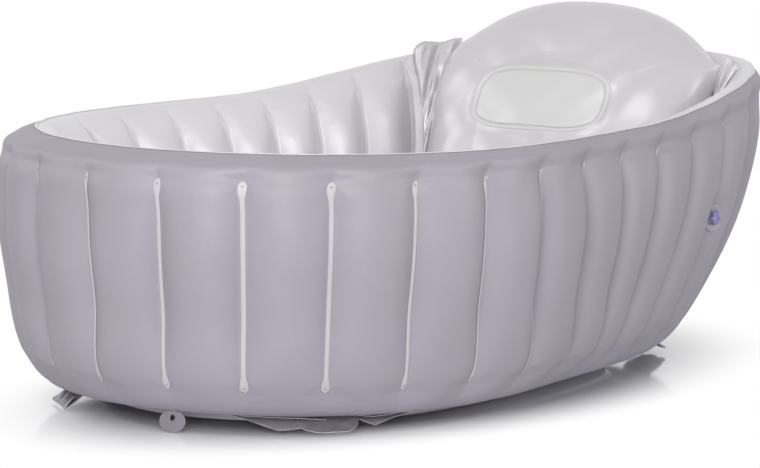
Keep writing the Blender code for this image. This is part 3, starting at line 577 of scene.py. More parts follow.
@dataclass(frozen=True)
class Plan:
    """The egg-shaped plan and the rim's height, as in the part's own numbers."""

    length: float = 0.974
    width: float = 0.557
    foot_roundness: float = 1.93
    rim_roundness: float = 3.04
    taper: float = 0.147
    belly: float = 0.20
    rim: float = 0.272
    rise: float = 0.047
    rise_start: float = 0.05
    rise_end: float = 0.60
    ribs: int = 30
    bulge_length: float = 2.50
    table_steps: int = 4000

    def egg(self, turn: Array, line: Array) -> Array:
        """Plan points: half length times c^(2/r) along and half width times s^(2/r) across.

        Args:
            turn: angle round the egg, 0 at the head.
            line: foot, head and side insets and the head's roundness, last.

        Returns:
            x and y, last.
        """
        foot, head, side, head_round = (line[..., index] for index in range(4))
        half_length = (self.length - foot - head) / 2.0
        centre = (foot - head) / 2.0
        half_width = self.width / 2.0 - side
        headward = (1.0 + np.cos(turn)) / 2.0
        roundness = self.foot_roundness * (1.0 - headward) + head_round * headward
        along, across = power_ring(turn, roundness)
        wide = half_width * (1.0 - self.taper * along + self.belly * along ** 2)
        return np.stack([centre + half_length * along, wide * across], -1)

    def turn_at(self, fraction: Array) -> Array:
        """The egg's angle at fractions of the bulge's length from the foot's tip."""
        table = np.linspace(-math.pi, math.pi, self.table_steps + 1)
        bulge = self.egg(table, np.array([0.0, 0.0, 0.0, self.rim_roundness]))
        steps = np.linalg.norm(np.diff(bulge, axis=0), axis=1)
        reached = np.concatenate([[0.0], np.cumsum(steps)])
        return np.interp(np.mod(fraction, 1.0) * reached[-1], reached, table)

    def ring(self, fraction: Array, line: Array, step: float = 1e-3) -> tuple[Array, Array]:
        """Plan points at fractions and their outward directions."""
        turn = self.turn_at(fraction)
        along = self.egg(turn + step, line) - self.egg(turn - step, line)
        along = along / np.linalg.norm(along, axis=-1, keepdims=True)
        return self.egg(turn, line), np.stack([along[..., 1], -along[..., 0]], -1)

    def rim_height(self, x: Array) -> Array:
        """Height of the rim seam: a smooth rise towards the head."""
        return self.rim + self.rise * smooth_step(self.rise_start, self.rise_end, x)

    def rib_place(self, fraction: Array) -> Array:
        """Where a point lies in its rib, 0 and 1 at the creases."""
        return np.mod(fraction * self.ribs - 0.5, 1.0)

    @property
    def pitch(self) -> float:
        """Length of the bulge line in one rib, nearly."""
        return self.bulge_length / self.ribs

    @property
    def creases(self) -> Array:
        """Fractions round the tub at which the creases lie."""
        return (np.arange(self.ribs) + 0.5) / self.ribs


PLAN = Plan()


def line_of(foot: float, head: float, side: float, roundness: float | None = None) -> Array:
    """A plan line's insets and head roundness."""
    return np.array([foot, head, side, PLAN.rim_roundness if roundness is None else roundness])


def held_in(line: Array, amount: float) -> Array:
    """A plan line held in by one more amount all round."""
    return line + np.array([amount, amount, amount, 0.0])


def between(first: Array, second: Array, share: float) -> Array:
    """A plan line a share of the way from the first to the second."""
    return first + (second - first) * share

UNDER_LINE = line_of(0.056, 0.163, 0.048, 2.8)
FLOOR_EDGE = 0.0595
WELD_THICKNESS = 0.0009


@dataclass
class RibbedFilm:
    """A film of the wall: rings from keys, with ribs between welded creases.

    Each key holds a plan line, the share of the rim's height, a height, and then the
    shares of swell, bow and scallop and the draw inwards. A pair of lengths is the middle
    and the width of a bell, the two ends of a rise, or a size down the film and across it.
    """

    places: Array
    keys: Array
    crease_top: float
    crease_foot: float
    swell: float
    sink: float
    sign: float
    weld_half: float = 0.0038
    folded_in: float = 0.22
    shown_creases: Pair = (1.8, 2.3)
    fade_out: float = 0.006
    fade_in: float = 0.010
    folded_power: float = 3.4
    shown_power: float = 2.0
    pucker: float = 0.0003
    pucker_fan: float = 7.0
    pucker_ring: Pair = (0.014, 0.009)
    pucker_calm: float = 0.004
    dimple: float = 0.0022
    dimple_size: Pair = (0.013, 0.011)
    dimple_at_foot: float = 0.5
    dimple_spread: float = 0.35
    dimple_ribs: float = 5.0
    pinch: float = 0.0007
    pinch_size: Pair = (0.013, 0.0045)
    pinch_rise: Pair = (-0.004, 0.003)
    crest: float = 0.0
    crest_ring: Pair = (0.014, 0.011)
    neck: float = 0.0027
    paddle: float = 0.0050
    paddle_reach: Pair = (1.6, 3.8)
    strip_lift: float = 0.0005
    strip_round: float = 0.0003
    ripple: float = 0.0006
    ripple_rates: Pair = (3.0, 6.0)
    ripple_from: float = 0.05
    foot_bow: float = 0.004
    head_bow: float = 0.013
    scallop: float = 0.0013
    seed: int = 3

    def weld_share(self, fraction: Array) -> Array:
        """How much of the nearest crease's strip shows; the rest is folded in between the ribs."""
        crease = np.floor(np.mod(fraction, 1.0) * PLAN.ribs) + 0.5
        signed = np.where(crease > PLAN.ribs / 2.0, crease - PLAN.ribs, crease)
        middle, width = self.shown_creases
        shown = self.folded_in + (1.0 - self.folded_in) * bell(signed - middle, width)
        return shown if self.sign > 0.0 else np.ones_like(shown)

    def relief(self, fraction: Array, down: Array, amount: Array) -> Array:
        """How far the film stands off its line.

        Between its creases a rib is a flat weld and then 1 - (1 - s)^p up to its middle;
        past the creases' ends it turns into a cosine. A dent, a fan of small puckers and a
        fading pinch stand at each end.

        Args:
            fraction: place round the tub.
            down: place down the film.
            amount: the keys' share of swell there.

        Returns:
            The relief in metres.
        """
        place = PLAN.rib_place(fraction)
        apart = np.minimum(place, 1.0 - place) * PLAN.pitch
        inside = (smooth_step(self.crease_top - self.fade_out, self.crease_top + self.fade_in, down)
                  * (1.0 - smooth_step(self.crease_foot - self.fade_in, self.crease_foot + self.fade_out,
                                       down)))
        half = PLAN.pitch / 2.0
        shown = self.weld_share(fraction)
        flat = self.weld_half * shown
        share = np.clip((apart - flat) / (half - flat), 0.0, 1.0)
        kinked = 1.0 - (1.0 - share) ** (self.folded_power - (self.folded_power - self.shown_power) * shown)
        soft = (1.0 - np.cos(FULL_TURN * place)) / 2.0
        rib = inside * kinked + (1.0 - inside) * soft
        relief = (self.swell * rib - self.sink) * amount
        signed = np.where(place < 0.5, place, place - 1.0) * PLAN.pitch
        drift = waves(fraction * PLAN.ribs / self.dimple_ribs, down * 0.0, self.seed + 9)
        uneven = 1.0 + self.dimple_spread * drift
        for end, beyond, deep in ((self.crease_top, -1.0, self.dimple),
                                  (self.crease_foot, 1.0, self.dimple * self.dimple_at_foot)):
            off = down - end
            fan = np.cos(self.pucker_fan * np.arctan2(signed, np.abs(off) + 1e-6))
            ring = bell(np.hypot(signed, off) - self.pucker_ring[0], self.pucker_ring[1])
            calm = np.abs(signed) + self.pucker_calm
            relief = relief + self.pucker * fan * ring * np.abs(signed) / calm
            dent = deep * uneven * bell(off, self.dimple_size[0]) * bell(signed, self.dimple_size[1])
            fade = np.exp(-np.maximum(off * beyond, 0.0) / self.pinch_size[0])
            pinch = smooth_step(*self.pinch_rise, off * beyond) * fade
            relief = relief - dent - self.pinch * pinch * bell(signed, self.pinch_size[1])
        round_rate, down_rate = self.ripple_rates
        drift = waves(fraction * self.seed * round_rate, down * down_rate, self.seed)
        return relief + self.ripple * drift * smooth_step(0.0, self.ripple_from, down)

    def surface(self, fraction: Array, down: Array) -> Array:
        """Points of the film at a fraction round the tub and a place down the film."""
        fraction, down = np.broadcast_arrays(fraction, down)
        rows = through_keys(self.places, self.keys, down)
        points, outward = PLAN.ring(fraction, rows[..., :4])
        rim_share, height, swell, bow, scallop, draw = (rows[..., 4 + n] for n in range(6))
        headward = (1.0 - np.cos(FULL_TURN * fraction)) / 2.0
        place = PLAN.rib_place(fraction)
        reach = bow * (self.foot_bow + (self.head_bow - self.foot_bow) * headward)
        reach = reach + scallop * self.scallop * 4.0 * place * (1.0 - place) - draw
        reach = reach + self.sign * self.relief(fraction, down, swell)
        points = points + outward * reach[..., None]
        level = rim_share * PLAN.rim_height(points[..., 0]) + height
        middle, width = self.crest_ring
        level = level + self.crest * headward ** 3 * bell(down - middle, width)
        return np.concatenate([points, level[..., None]], -1)

    def strip(self, crease: float, columns: int = 7, rows: int = 64) -> Shell:
        """The welded strip in one crease, wider at both ends and narrow where it is folded in.

        Args:
            crease: the crease's fraction round the tub.
            columns: points across the strip.
            rows: points along it.

        Returns:
            The strip, lifted off the film.
        """
        share = (1.0 - np.cos(np.linspace(0.0, math.pi, rows))) / 2.0
        length = self.crease_foot - self.crease_top
        down = self.crease_top + length * share
        off = np.minimum(share, 1.0 - share) * length
        near, far = self.paddle_reach
        paddle = 1.0 - smooth_step(self.paddle * near, self.paddle * far, off)
        tip = np.sqrt(np.clip(1.0 - (np.clip(1.0 - off / self.paddle, 0.0, 1.0)) ** 2, 0.0, 1.0))
        wide = tip * (self.neck + (self.paddle - self.neck) * paddle)
        wide = wide * float(self.weld_share(np.array(crease)))
        across = np.linspace(-1.0, 1.0, columns)
        fraction = crease + across * wide[:, None] / (PLAN.pitch * PLAN.ribs)
        place = np.broadcast_to(down[:, None], fraction.shape)
        points = self.surface(fraction, place)
        lift = self.strip_lift + self.strip_round * np.sqrt(np.clip(1.0 - across ** 2, 0.0, 1.0))
        points = points + self.sign * normals_of(self.surface, fraction, place) * lift[:, None]
        return Shell.grid(points, flip=self.sign < 0.0)


@dataclass
class AirWall(SubAssembly):
    """The air wall: its outer and inner films, welded strips, rim seam and inner webs.

    A line's insets are those at the foot, the head and the sides, with the head's roundness
    after them where it has its own.
    """

    film: float = 0.001
    seam_gap: float = 0.0006
    seam_insets: Triple = (0.048, 0.0015, 0.0157)
    rib_foot_insets: tuple[float, ...] = (0.028, 0.098, 0.023, 2.3)
    inner_foot_insets: Triple = (0.103, 0.150, 0.086)
    inner_rim_insets: Triple = (0.020, 0.036, 0.045)
    inner_rim_drop: float = 0.080
    bulge_drop: float = 0.0226
    rib_foot_height: float = 0.047
    under_height: float = 0.022
    base_height: float = 0.018
    base_inset: float = 0.030
    columns_in_rib: int = 26
    crowding: float = 0.82
    row_crowding: tuple[Pair, ...] = ((2.2, 0.016), (1.6, 0.016), (1.5, 0.02))
    row_table: int = 4001
    outer_rows: int = 100
    inner_rows: int = 80
    strip_film: float = 0.0003
    dot: float = 0.0009
    dot_lift: float = 0.0010
    dot_steps: int = 12
    least_shown: float = 0.3
    lip_steps: int = 16
    lip_power: float = 3.0
    lip_half_height: float = 0.0005
    lip_ripple: float = 0.0004

    def __post_init__(self) -> None:
        """Work out the wall's lines and its two films."""
        self.seam = line_of(*self.seam_insets)
        self.base = held_in(UNDER_LINE, self.base_inset)
        self.inner_foot = line_of(*self.inner_foot_insets)
        self.outer = self.film_from(self.outer_keys(), top=3, foot=7, swell=0.0145, sink=0.0075, sign=1.0)
        self.inner = self.film_from(self.inner_keys(), top=2, foot=5, shift=0.003, swell=0.0105, sink=0.0,
                                    sign=-1.0, pucker=0.0008, dimple=0.0028, crest=0.0075, seed=5,
                                    neck=0.0011, paddle=0.0018)

    def outer_keys(self) -> list[tuple]:
        """The outer film's keys: seam, shoulder, ribs, and the turn under the tub."""
        bulge = line_of(0.0, 0.0, 0.0)
        rib_foot = line_of(*self.rib_foot_insets)
        keys = [(self.seam, 1.0, 0.0, 0.0, 0.0, 1.0, 0.0),
                (between(self.seam, bulge, 0.36), 1.0, -0.0032, 0.04, 0.0, 1.0, 0.0),
                (between(self.seam, bulge, 0.72), 1.0, -0.008, 0.14, 0.0, 0.8, 0.0)]
        for share, swell, draw in ((1.0, 0.45, 0.005), (0.84, 0.9, 0.002), (0.70, 1.0, 0.0),
                                   (0.38, 1.0, 0.0), (0.0, 0.4, 0.0)):
            height = (1.0 - share) * self.rib_foot_height - share * self.bulge_drop
            bow = 4.0 * share * (1.0 - share)
            keys.append((between(rib_foot, bulge, share), share, height, swell, bow, 0.0, draw))
        keys.append((UNDER_LINE, 0.0, self.under_height, 0.0, 0.0, 1.0, 0.0))
        keys.append((self.base, 0.0, self.base_height, 0.0, 0.0, 0.0, 0.0))
        return keys

    def inner_keys(self) -> list[tuple]:
        """The inner film's keys: seam, the inside of the rim, and the wall down to the floor."""
        rim = [held_in(self.seam, inset) for inset in self.inner_rim_insets]
        edge = FLOOR_EDGE + self.seam_gap
        keys = [(held_in(self.seam, self.film + self.seam_gap), 1.0, 0.0, 0.0, 0.0, 1.0, 0.0),
                (held_in(self.seam, 0.009), 1.0, -0.0012, 0.0, 0.0, 1.0, 0.0),
                (rim[0], 1.0, -0.010, 0.15, 0.0, 0.0, 0.0),
                (rim[1], 1.0, -0.045, 0.9, 0.0, 0.0, 0.0),
                (rim[2], 1.0, -self.inner_rim_drop, 1.0, 0.0, 0.0, 0.0)]
        for share, swell in ((0.12, 0.8), (0.0, 0.0)):
            height = (1.0 - share) * edge - share * self.inner_rim_drop
            keys.append((between(self.inner_foot, rim[2], share), share, height, swell, 0.0, 0.0, 0.0))
        return keys

    @staticmethod
    def film_from(rows: list[tuple], top: int, foot: int, shift: float = 0.0, **sizes: float) -> RibbedFilm:
        """A ribbed film from its keys.

        Args:
            rows: a plan line and six numbers for each key.
            top: the key where the creases start.
            foot: the key where they end.
            shift: how far past its key their start lies.
            sizes: the film's sizes and its sign, 1 for the outer film and -1 for the inner one.

        Returns:
            The film, whose places are lengths down the near side.
        """
        keys = np.array([[*row[0], *row[1:]] for row in rows])
        near = np.array([0.25])
        side = [PLAN.ring(near, key[None, :4])[0][0] for key in keys]
        level = keys[:, 4] * PLAN.rim_height(np.array([point[0] for point in side])) + keys[:, 5]
        path = np.column_stack([[point[1] for point in side], level])
        steps = np.linalg.norm(np.diff(path, axis=0), axis=1)
        places = np.concatenate([[0.0], np.cumsum(steps)])
        return RibbedFilm(places, keys, places[top] + shift, places[foot], **sizes)

    def grid(self, film: RibbedFilm, rows: int) -> Array:
        """Points of a film, closer together at its creases and at their ends."""
        step = np.linspace(0.0, 1.0, self.columns_in_rib + 1)[:-1]
        place = step - self.crowding * np.sin(FULL_TURN * step) / FULL_TURN
        fraction = ((np.arange(PLAN.ribs)[:, None] + 0.5 + place) / PLAN.ribs).ravel()
        even = np.linspace(0.0, film.places[-1], self.row_table)
        weight = np.ones_like(even)
        for middle, (gain, width) in zip((film.crease_top, film.crease_foot, 0.0), self.row_crowding):
            weight = weight + gain * bell(even - middle, width)
        reached = np.concatenate([[0.0], np.cumsum((weight[1:] + weight[:-1]) / 2.0)])
        down = np.interp(np.linspace(0.0, reached[-1], rows), reached, even)
        points = film.surface(fraction[None, :], down[:, None])
        return seated(points, WALL_VALVE) if film.sign > 0.0 else points

    def add_strips(self, name: str, film: RibbedFilm, finish: FilmFinish) -> None:
        """Weld the strips into a film's creases."""
        shell = Shell.joined([film.strip(float(crease)) for crease in PLAN.creases])
        self.thicken(self.add(name, shell, finish, Slot.INNER), self.strip_film)

    def add_dots(self, film: RibbedFilm) -> None:
        """The small round weld mark in each end of a strip."""
        turn = even_turns(self.dot_steps)
        dots = []
        for crease in PLAN.creases[film.weld_share(PLAN.creases) > self.least_shown]:
            for end, inward in ((film.crease_top, 1.0), (film.crease_foot, -1.0)):
                fraction = crease + self.dot * np.cos(turn) / (PLAN.pitch * PLAN.ribs)
                down = end + inward * film.paddle + self.dot * np.sin(turn)
                points = film.surface(fraction, down)
                points = points + normals_of(film.surface, fraction, down) * self.dot_lift
                dots.append(Shell.grid(points[None], wrap=True, poles=(False, True), flip=True))
        marks = self.add("strip_weld_marks", Shell.joined(dots), GREY_FILM, Slot.INNER)
        self.thicken(marks, self.strip_film)

    def add_seam(self, name: str, line: Array, level: Callable[[Array], Array], out: float,
                 half: float, finish: FilmFinish, slot: Slot) -> None:
        """The flat trimmed edge of a weld all round a plan line, with a wavy border.

        Args:
            name: the piece's name.
            line: the plan line it follows.
            level: its height, from x.
            out: how far its middle lies outside the line.
            half: half its width.
            finish: its material.
            slot: its slot.
        """
        columns = PLAN.ribs * self.columns_in_rib
        fraction = np.arange(columns) / columns
        points, outward = PLAN.ring(fraction, line[None])
        place = PLAN.rib_place(fraction)
        drift = waves(fraction * 22.0, fraction * 9.0, 17)
        shift = self.outer.scallop * 4.0 * place * (1.0 - place) + self.lip_ripple * drift + out
        wide, high = power_ring(even_turns(self.lip_steps), self.lip_power)
        across = shift[None, :] + half * wide[:, None]
        flat = points[None] + outward[None] * across[..., None]
        height = level(points[:, 0])[None] + self.lip_half_height * high[:, None]
        grid = np.concatenate([flat, height[..., None]], -1)
        self.add(name, Shell.grid(grid, wrap=True, loop=True).outward(), finish, slot)

    def build(self) -> None:
        """Build and dress every piece of the wall."""
        # The inner film's pearl tone is painted light for the dimmer inside of the tub.
        for name, film, rows, finish, slot, node in (
                ("wall_outer_film", self.outer, self.outer_rows, GREY_FILM, Slot.OUTER,
                 "wall_outer_skin"),
                ("wall_inner_film", self.inner, self.inner_rows, PEARL_FILM, Slot.PEARL,
                 "wall_inner_skin")):
            shell = Shell.grid(self.grid(film, rows), wrap=True, flip=film.sign < 0.0)
            skin = self.add(name, shell, finish, slot, [node])
            self.thicken(skin, self.film)
        self.add_strips("outer_weld_strips", self.outer, WELD_FILM)
        self.add_dots(self.outer)
        self.add_strips("inner_weld_strips", self.inner, PEARL_FILM)
        self.add_seam("rim_weld_lip", self.seam, lambda x: PLAN.rim_height(x) + 0.0003,
                      out=-0.0009, half=0.0014, finish=PEARL_FILM, slot=Slot.PEARL)
        self.add_seam("base_weld_lip", self.base, lambda x: np.full_like(x, 0.0176),
                      out=0.0, half=0.0018, finish=GREY_FILM, slot=Slot.OUTER)
        for number in range(1, PLAN.ribs + 1):
            self.dress(f"wall_web_{number:02d}", CLEAR_FILM)


# Floor

@dataclass
class AirFloor(SubAssembly):
    """The air floor: its top film, the sheet under the tub and the webs between them."""

    film: float = 0.001
    top: float = 0.063
    edge: float = FLOOR_EDGE
    rise_from: float = 0.90
    puff: float = 0.006
    puff_from: float = 0.62
    ripple: float = 0.0004
    ripple_rate: float = 9.0
    web_ends: Pair = (-0.20, 0.19)
    web_reach: float = 0.030
    flat_spots: tuple[Triple, ...] = ((-0.30, 0.0, 0.034), (-0.245, 0.075, 0.028))
    spot_fade: Pair = (0.8, 1.9)
    base_edge: float = 0.018
    slope_from: float = 0.80
    base_pucker: float = 0.0007
    base_puckers: float = 46.0
    columns: int = 160
    rings: int = 44
    edge_rings: int = 12
    edge_band: Pair = (0.86, 0.84)

    def top_height(self, x: Array, y: Array, share: Array) -> Array:
        """Height of the floor: two puffed chambers that a long weld parts.

        Args:
            x: along the tub.
            y: across it.
            share: 1 at the edge and 0 in the middle.

        Returns:
            The height, flat round the drain and the valve.
        """
        low, high = self.web_ends
        past = np.maximum(np.maximum(low - x, x - high), 0.0)
        dip = bell(np.hypot(past, y), self.web_reach)
        inside = 1.0 - smooth_step(self.puff_from, 1.0, share)
        drift = waves(x * self.ripple_rate, y * self.ripple_rate, 8)
        puff = self.puff * inside * (1.0 - dip) + self.ripple * drift * inside
        near, far = self.spot_fade
        for spot_x, spot_y, radius in self.flat_spots:
            away = np.hypot(x - spot_x, y - spot_y)
            puff = puff * smooth_step(radius * near, radius * far, away)
        rise = (self.top - self.edge) * (1.0 - smooth_step(self.rise_from, 1.0, share))
        return self.edge + rise + puff

    def sheet(self, line: Array, shares: Array, height: Callable[[Array, Array, Array], Array]) -> Array:
        """Rings of a plan line drawn in to the middle, at a height of their own."""
        fraction = np.arange(self.columns) / self.columns
        points = PLAN.ring(fraction, line[None])[0]
        flat = points[None] * shares[:, None, None]
        spread = np.broadcast_to(shares[:, None], flat.shape[:2])
        level = height(flat[..., 0], flat[..., 1], spread)
        return np.concatenate([flat, level[..., None]], -1)

    def base_height(self, x: Array, y: Array, share: Array) -> Array:
        """Height of the bottom sheet: flat on the ground, puckered where it slopes up."""
        slope = smooth_step(self.slope_from, 1.0, share)
        angle = np.arctan2(y, x)
        pucker = self.base_pucker * np.sin(angle * self.base_puckers) * slope * (1.0 - slope) * 4.0
        return self.base_edge * slope + np.maximum(pucker, 0.0)

    def build(self, wall: AirWall) -> None:
        """Build and dress every piece of the floor.

        Args:
            wall: the wall, whose lines the floor's films meet.
        """
        outer, inner = self.edge_band
        shares = np.concatenate([np.linspace(1.0, outer, self.edge_rings),
                                 np.linspace(inner, 0.0, self.rings - self.edge_rings)[:-1]])
        for name, line, height, finish, slot, node in (
                ("floor_top_film", held_in(wall.inner_foot, self.film + wall.seam_gap),
                 self.top_height, PEARL_FILM, Slot.PEARL, "floor_top_skin"),
                ("floor_bottom_film", held_in(wall.base, wall.seam_gap),
                 self.base_height, GREY_FILM, Slot.OUTER, "floor_bottom_sheet")):
            rings = self.sheet(line, shares, height)
            shell = Shell.grid(rings, wrap=True, poles=(False, True), flip=slot is Slot.PEARL)
            piece = self.add(name, shell, finish, slot, [node])
            self.thicken(piece, self.film)
        for node in ("floor_edge_web", "floor_centre_web"):
            self.dress(node, CLEAR_FILM)


# Backrest

@dataclass
class Backrest(SubAssembly):
    """The leaning air backrest with its seam and its bare oval panel."""

    lean: float = math.radians(25.0)
    foot_x: float = 0.283
    foot_z: float = 0.0636
    half_width: float = 0.168
    foot_half: float = 0.122
    corner_up: float = 0.268
    dome_half: float = 0.158
    dome_rise: float = 0.062
    dome_power: float = 2.6
    foot_radius: float = 0.030
    front_depth: float = 0.068
    rear_depth: float = 0.031
    core: float = 0.50
    tip: float = 0.02
    soft_from: float = 0.30
    dome_from: Pair = (0.20, 0.285)
    dome_powers: Pair = (1.15, 0.85)
    side_turn: float = 0.45
    rim_power: float = 2.4
    foot_gain: float = 0.30
    gain_range: Pair = (0.05, 0.27)
    crown: float = 0.005
    rounding: float = 0.016
    middle_up: float = 0.170
    ripple: float = 0.0012
    pucker: float = 0.0012
    puckers: int = 44
    pucker_drift: float = 0.6
    pucker_border: Pair = (0.22, 0.20)
    pucker_from: float = 0.08
    panel_centre: Pair = (0.004, 0.190)
    panel_half: Pair = (0.078, 0.0335)
    panel_power: float = 3.5
    panel_swell: tuple[Triple, ...] = ((0.0011, 0.008, 0.0050), (-0.0005, 0.0, 0.0035))
    panel_steps: int = 160
    panel_rings: tuple[float, ...] = (1.0, 1.0, 0.992, 0.97, 0.93, 0.86, 0.76, 0.64, 0.5, 0.36, 0.22,
                                      0.10, 0.02)
    panel_lift: tuple[float, ...] = (0.0, 0.0007, 0.0011, 0.0012)
    bead_steps: int = 12
    bead_grow: Pair = (0.0034, 0.0024)
    bead_lift: Pair = (0.0002, 0.0010)
    columns: int = 320
    outline_steps: tuple[int, ...] = (200, 60, 16, 40)
    rings: int = 120
    inner_rings: int = 56
    seam_gap: float = 0.0006
    film: float = 0.001

    def __post_init__(self) -> None:
        """Work out the backrest's own directions, its seam line and its round line."""
        self.up = np.array([math.sin(self.lean), 0.0, math.cos(self.lean)])
        self.front = np.array([-math.cos(self.lean), 0.0, math.sin(self.lean)])
        self.foot = np.array([self.foot_x, 0.0, self.foot_z])
        self.middle = np.array([0.0, self.middle_up])
        self.seam_line, step = self.outline()
        flat = (self.seam_line - self.middle) @ AS_COMPLEX
        blur = np.exp(-2.0 * (math.pi * self.rounding * np.fft.fftfreq(self.columns, step)) ** 2)
        self.soft = np.fft.ifft(np.fft.fft(flat) * blur)

    def point(self, side: Array, up: Array, out: Array) -> Array:
        """Places given across, up and out of the backrest's plane."""
        side, up, out = np.broadcast_arrays(side, up, out)
        place = self.foot + up[..., None] * self.up + out[..., None] * self.front
        place[..., 1] += side
        return place

    def side_width(self, up: Array) -> Array:
        """Half width of the seam on its straight sides."""
        return self.foot_half + (self.half_width - self.foot_half) * up / self.corner_up

    def outline(self) -> tuple[Array, float]:
        """The seam line: dome, pointed corners, sides and round foot, evenly spaced, and its step."""
        dome_steps, side_steps, corner_steps, foot_steps = self.outline_steps
        across = np.linspace(-1.0, 1.0, dome_steps)
        dome = np.column_stack([-self.dome_half * across,
                                self.corner_up + self.dome_rise * (1.0 - np.abs(across) ** self.dome_power)])
        radius = self.foot_radius
        heights = np.linspace(self.corner_up, radius, side_steps)
        left = np.column_stack([-self.side_width(heights), heights])
        centre = self.side_width(np.array(radius)) - radius
        turn = np.linspace(0.0, math.pi / 2.0, corner_steps)[1:]
        corner = np.column_stack([-centre - radius * np.cos(turn), radius - radius * np.sin(turn)])
        foot = np.linspace(-centre, centre, foot_steps)[1:-1]
        foot = np.column_stack([foot, np.zeros_like(foot)])
        side = np.vstack([left, corner])
        line = np.vstack([dome, side, foot, side[::-1] * [-1.0, 1.0], dome[:1]])
        reached = np.concatenate([[0.0], np.cumsum(np.linalg.norm(np.diff(line, axis=0), axis=1))])
        even = np.linspace(0.0, reached[-1], self.columns + 1)[:-1]
        places = np.column_stack([np.interp(even, reached, line[:, axis]) for axis in (0, 1)])
        return places, float(even[1])

    def panel_reach(self, side: Array, up: Array) -> Array:
        """Distance from the panel's border along the ray from its centre, less than 0 inside."""
        across, high = side - self.panel_centre[0], up - self.panel_centre[1]
        power = self.panel_power
        size = (np.abs(across / self.panel_half[0]) ** power
                + np.abs(high / self.panel_half[1]) ** power) ** (1.0 / power)
        return np.hypot(across, high) * (1.0 - 1.0 / np.maximum(size, 1e-3))

    def face(self, side: Array, up: Array, out: Array, sign: float) -> Array:
        """A face's height with its crown: deeper towards the foot, and folded.

        Args:
            side: across the backrest.
            up: up the backrest.
            out: height of the plain face.
            sign: 1 for the front and -1 for the rear.

        Returns:
            The height over the backrest's plane.
        """
        gain = self.foot_gain * (1.0 - smooth_step(*self.gain_range, up))
        out = out * (1.0 + (gain if sign > 0.0 else 0.0))
        calm = smooth_step(0.3, 1.0, out / self.front_depth)
        out = out + self.ripple * waves(side * 7.0, up * 7.0, 27) * calm
        if sign > 0.0:
            reach = self.panel_reach(side, up)
            for swell, middle, width in self.panel_swell:
                out = out + swell * bell(reach - middle, width)
        return out

    def crown_height(self, share: Array) -> Array:
        """The middle's crown: crown times (1 - (share / core)^2) inside the core."""
        return self.crown * np.clip(1.0 - (share / self.core) ** 2, 0.0, 1.0)

    def pillow(self, full: float, sign: float) -> Shell:
        """One face: a rounded rim, then rings to the middle.

        Low down the rim bulges past the seam: the share of the radius is
        core + w cos(t)^(2/p) and the height rises with sin(t)^(2/p). In the dome it is
        nearly a quarter circle.

        Args:
            full: depth of the face.
            sign: 1 for the front and -1 for the rear.

        Returns:
            The face.
        """
        step = np.linspace(0.0, 1.0, self.rings - self.inner_rings)[:, None]
        turn = -self.side_turn + (math.pi / 2.0 + self.side_turn) * step
        power = 2.0 / self.rim_power
        cosine, sine = np.clip(np.cos(turn), 0.0, 1.0) ** power, np.sin(turn)
        low = math.sin(self.side_turn) ** power
        boxy = self.core + (1.0 - self.core) * cosine / cosine[0]
        boxy_out = (np.sign(sine) * np.abs(sine) ** power + low) / (1.0 + low)
        quarter = step * math.pi / 2.0
        inward, outward = self.dome_powers
        round_share = self.core + (1.0 - self.core) * np.clip(np.cos(quarter), 0.0, 1.0) ** inward
        round_out = np.sin(quarter) ** outward
        full_here = 1.0 - smooth_step(*self.dome_from, self.seam_line[:, 1])[None, :]
        full_here = full_here * (1.0 if sign > 0.0 else 0.0)
        rim = round_share + (boxy - round_share) * full_here
        rim_out = full * (round_out + (boxy_out - round_out) * full_here)
        inner = np.linspace(self.core, self.tip, self.inner_rings + 1)[1:, None]
        inner = np.repeat(inner, self.columns, axis=1)
        share = np.vstack([rim, inner])
        out = np.vstack([rim_out, np.full(inner.shape, full)])
        weight = smooth_step(0.0, self.soft_from, out / full)
        out = out + self.crown_height(share)
        near = (self.seam_line - self.middle) @ AS_COMPLEX
        flat = share * (near * (1.0 - weight) + self.soft * weight)
        side, up = flat.real, flat.imag + self.middle_up
        out = self.face(side, up, out, sign)
        arc = np.arange(self.columns) / self.columns
        fold = np.cos(FULL_TURN * (self.puckers * arc + self.pucker_drift * waves(arc * 5.0, arc * 0.0, 41)))
        strength = 0.5 + 0.5 * waves(arc * 9.0, arc * 3.0, 21)
        height = np.clip(out / full, 0.0, 1.0)
        middle, width = self.pucker_border
        border = bell(height - middle, width) * smooth_step(0.0, self.pucker_from, height)
        out = out + self.pucker * border * fold * strength
        grid = self.point(side, up, sign * (self.seam_gap + out))
        if sign < 0.0:
            grid = seated(grid, BACK_VALVE)
        return Shell.grid(grid, wrap=True, poles=(False, True), flip=sign < 0.0)

    def panel(self, shares: Sequence[float], grow: Sequence[float], lift: Sequence[float]) -> Array:
        """Rings of the panel's outline laid on the front face.

        Args:
            shares: size of each ring.
            grow: how much wider each ring is than its share.
            lift: how far each ring stands off the face.

        Returns:
            Rings by steps by 3.
        """
        turn = even_turns(self.panel_steps)
        wide, high = power_ring(turn, self.panel_power)
        share, more, off = (np.array(given)[:, None] for given in (shares, grow, lift))
        side = self.panel_centre[0] + (self.panel_half[0] * share + more) * wide
        up = self.panel_centre[1] + (self.panel_half[1] * share + more) * high
        flat = side + 1j * (up - self.middle_up)
        reach = np.interp(np.angle(flat), np.angle(self.soft), np.abs(self.soft), period=FULL_TURN)
        out = self.face(side, up, self.front_depth + self.crown_height(np.abs(flat) / reach), 1.0)
        return self.point(side, up, self.seam_gap + out + off)

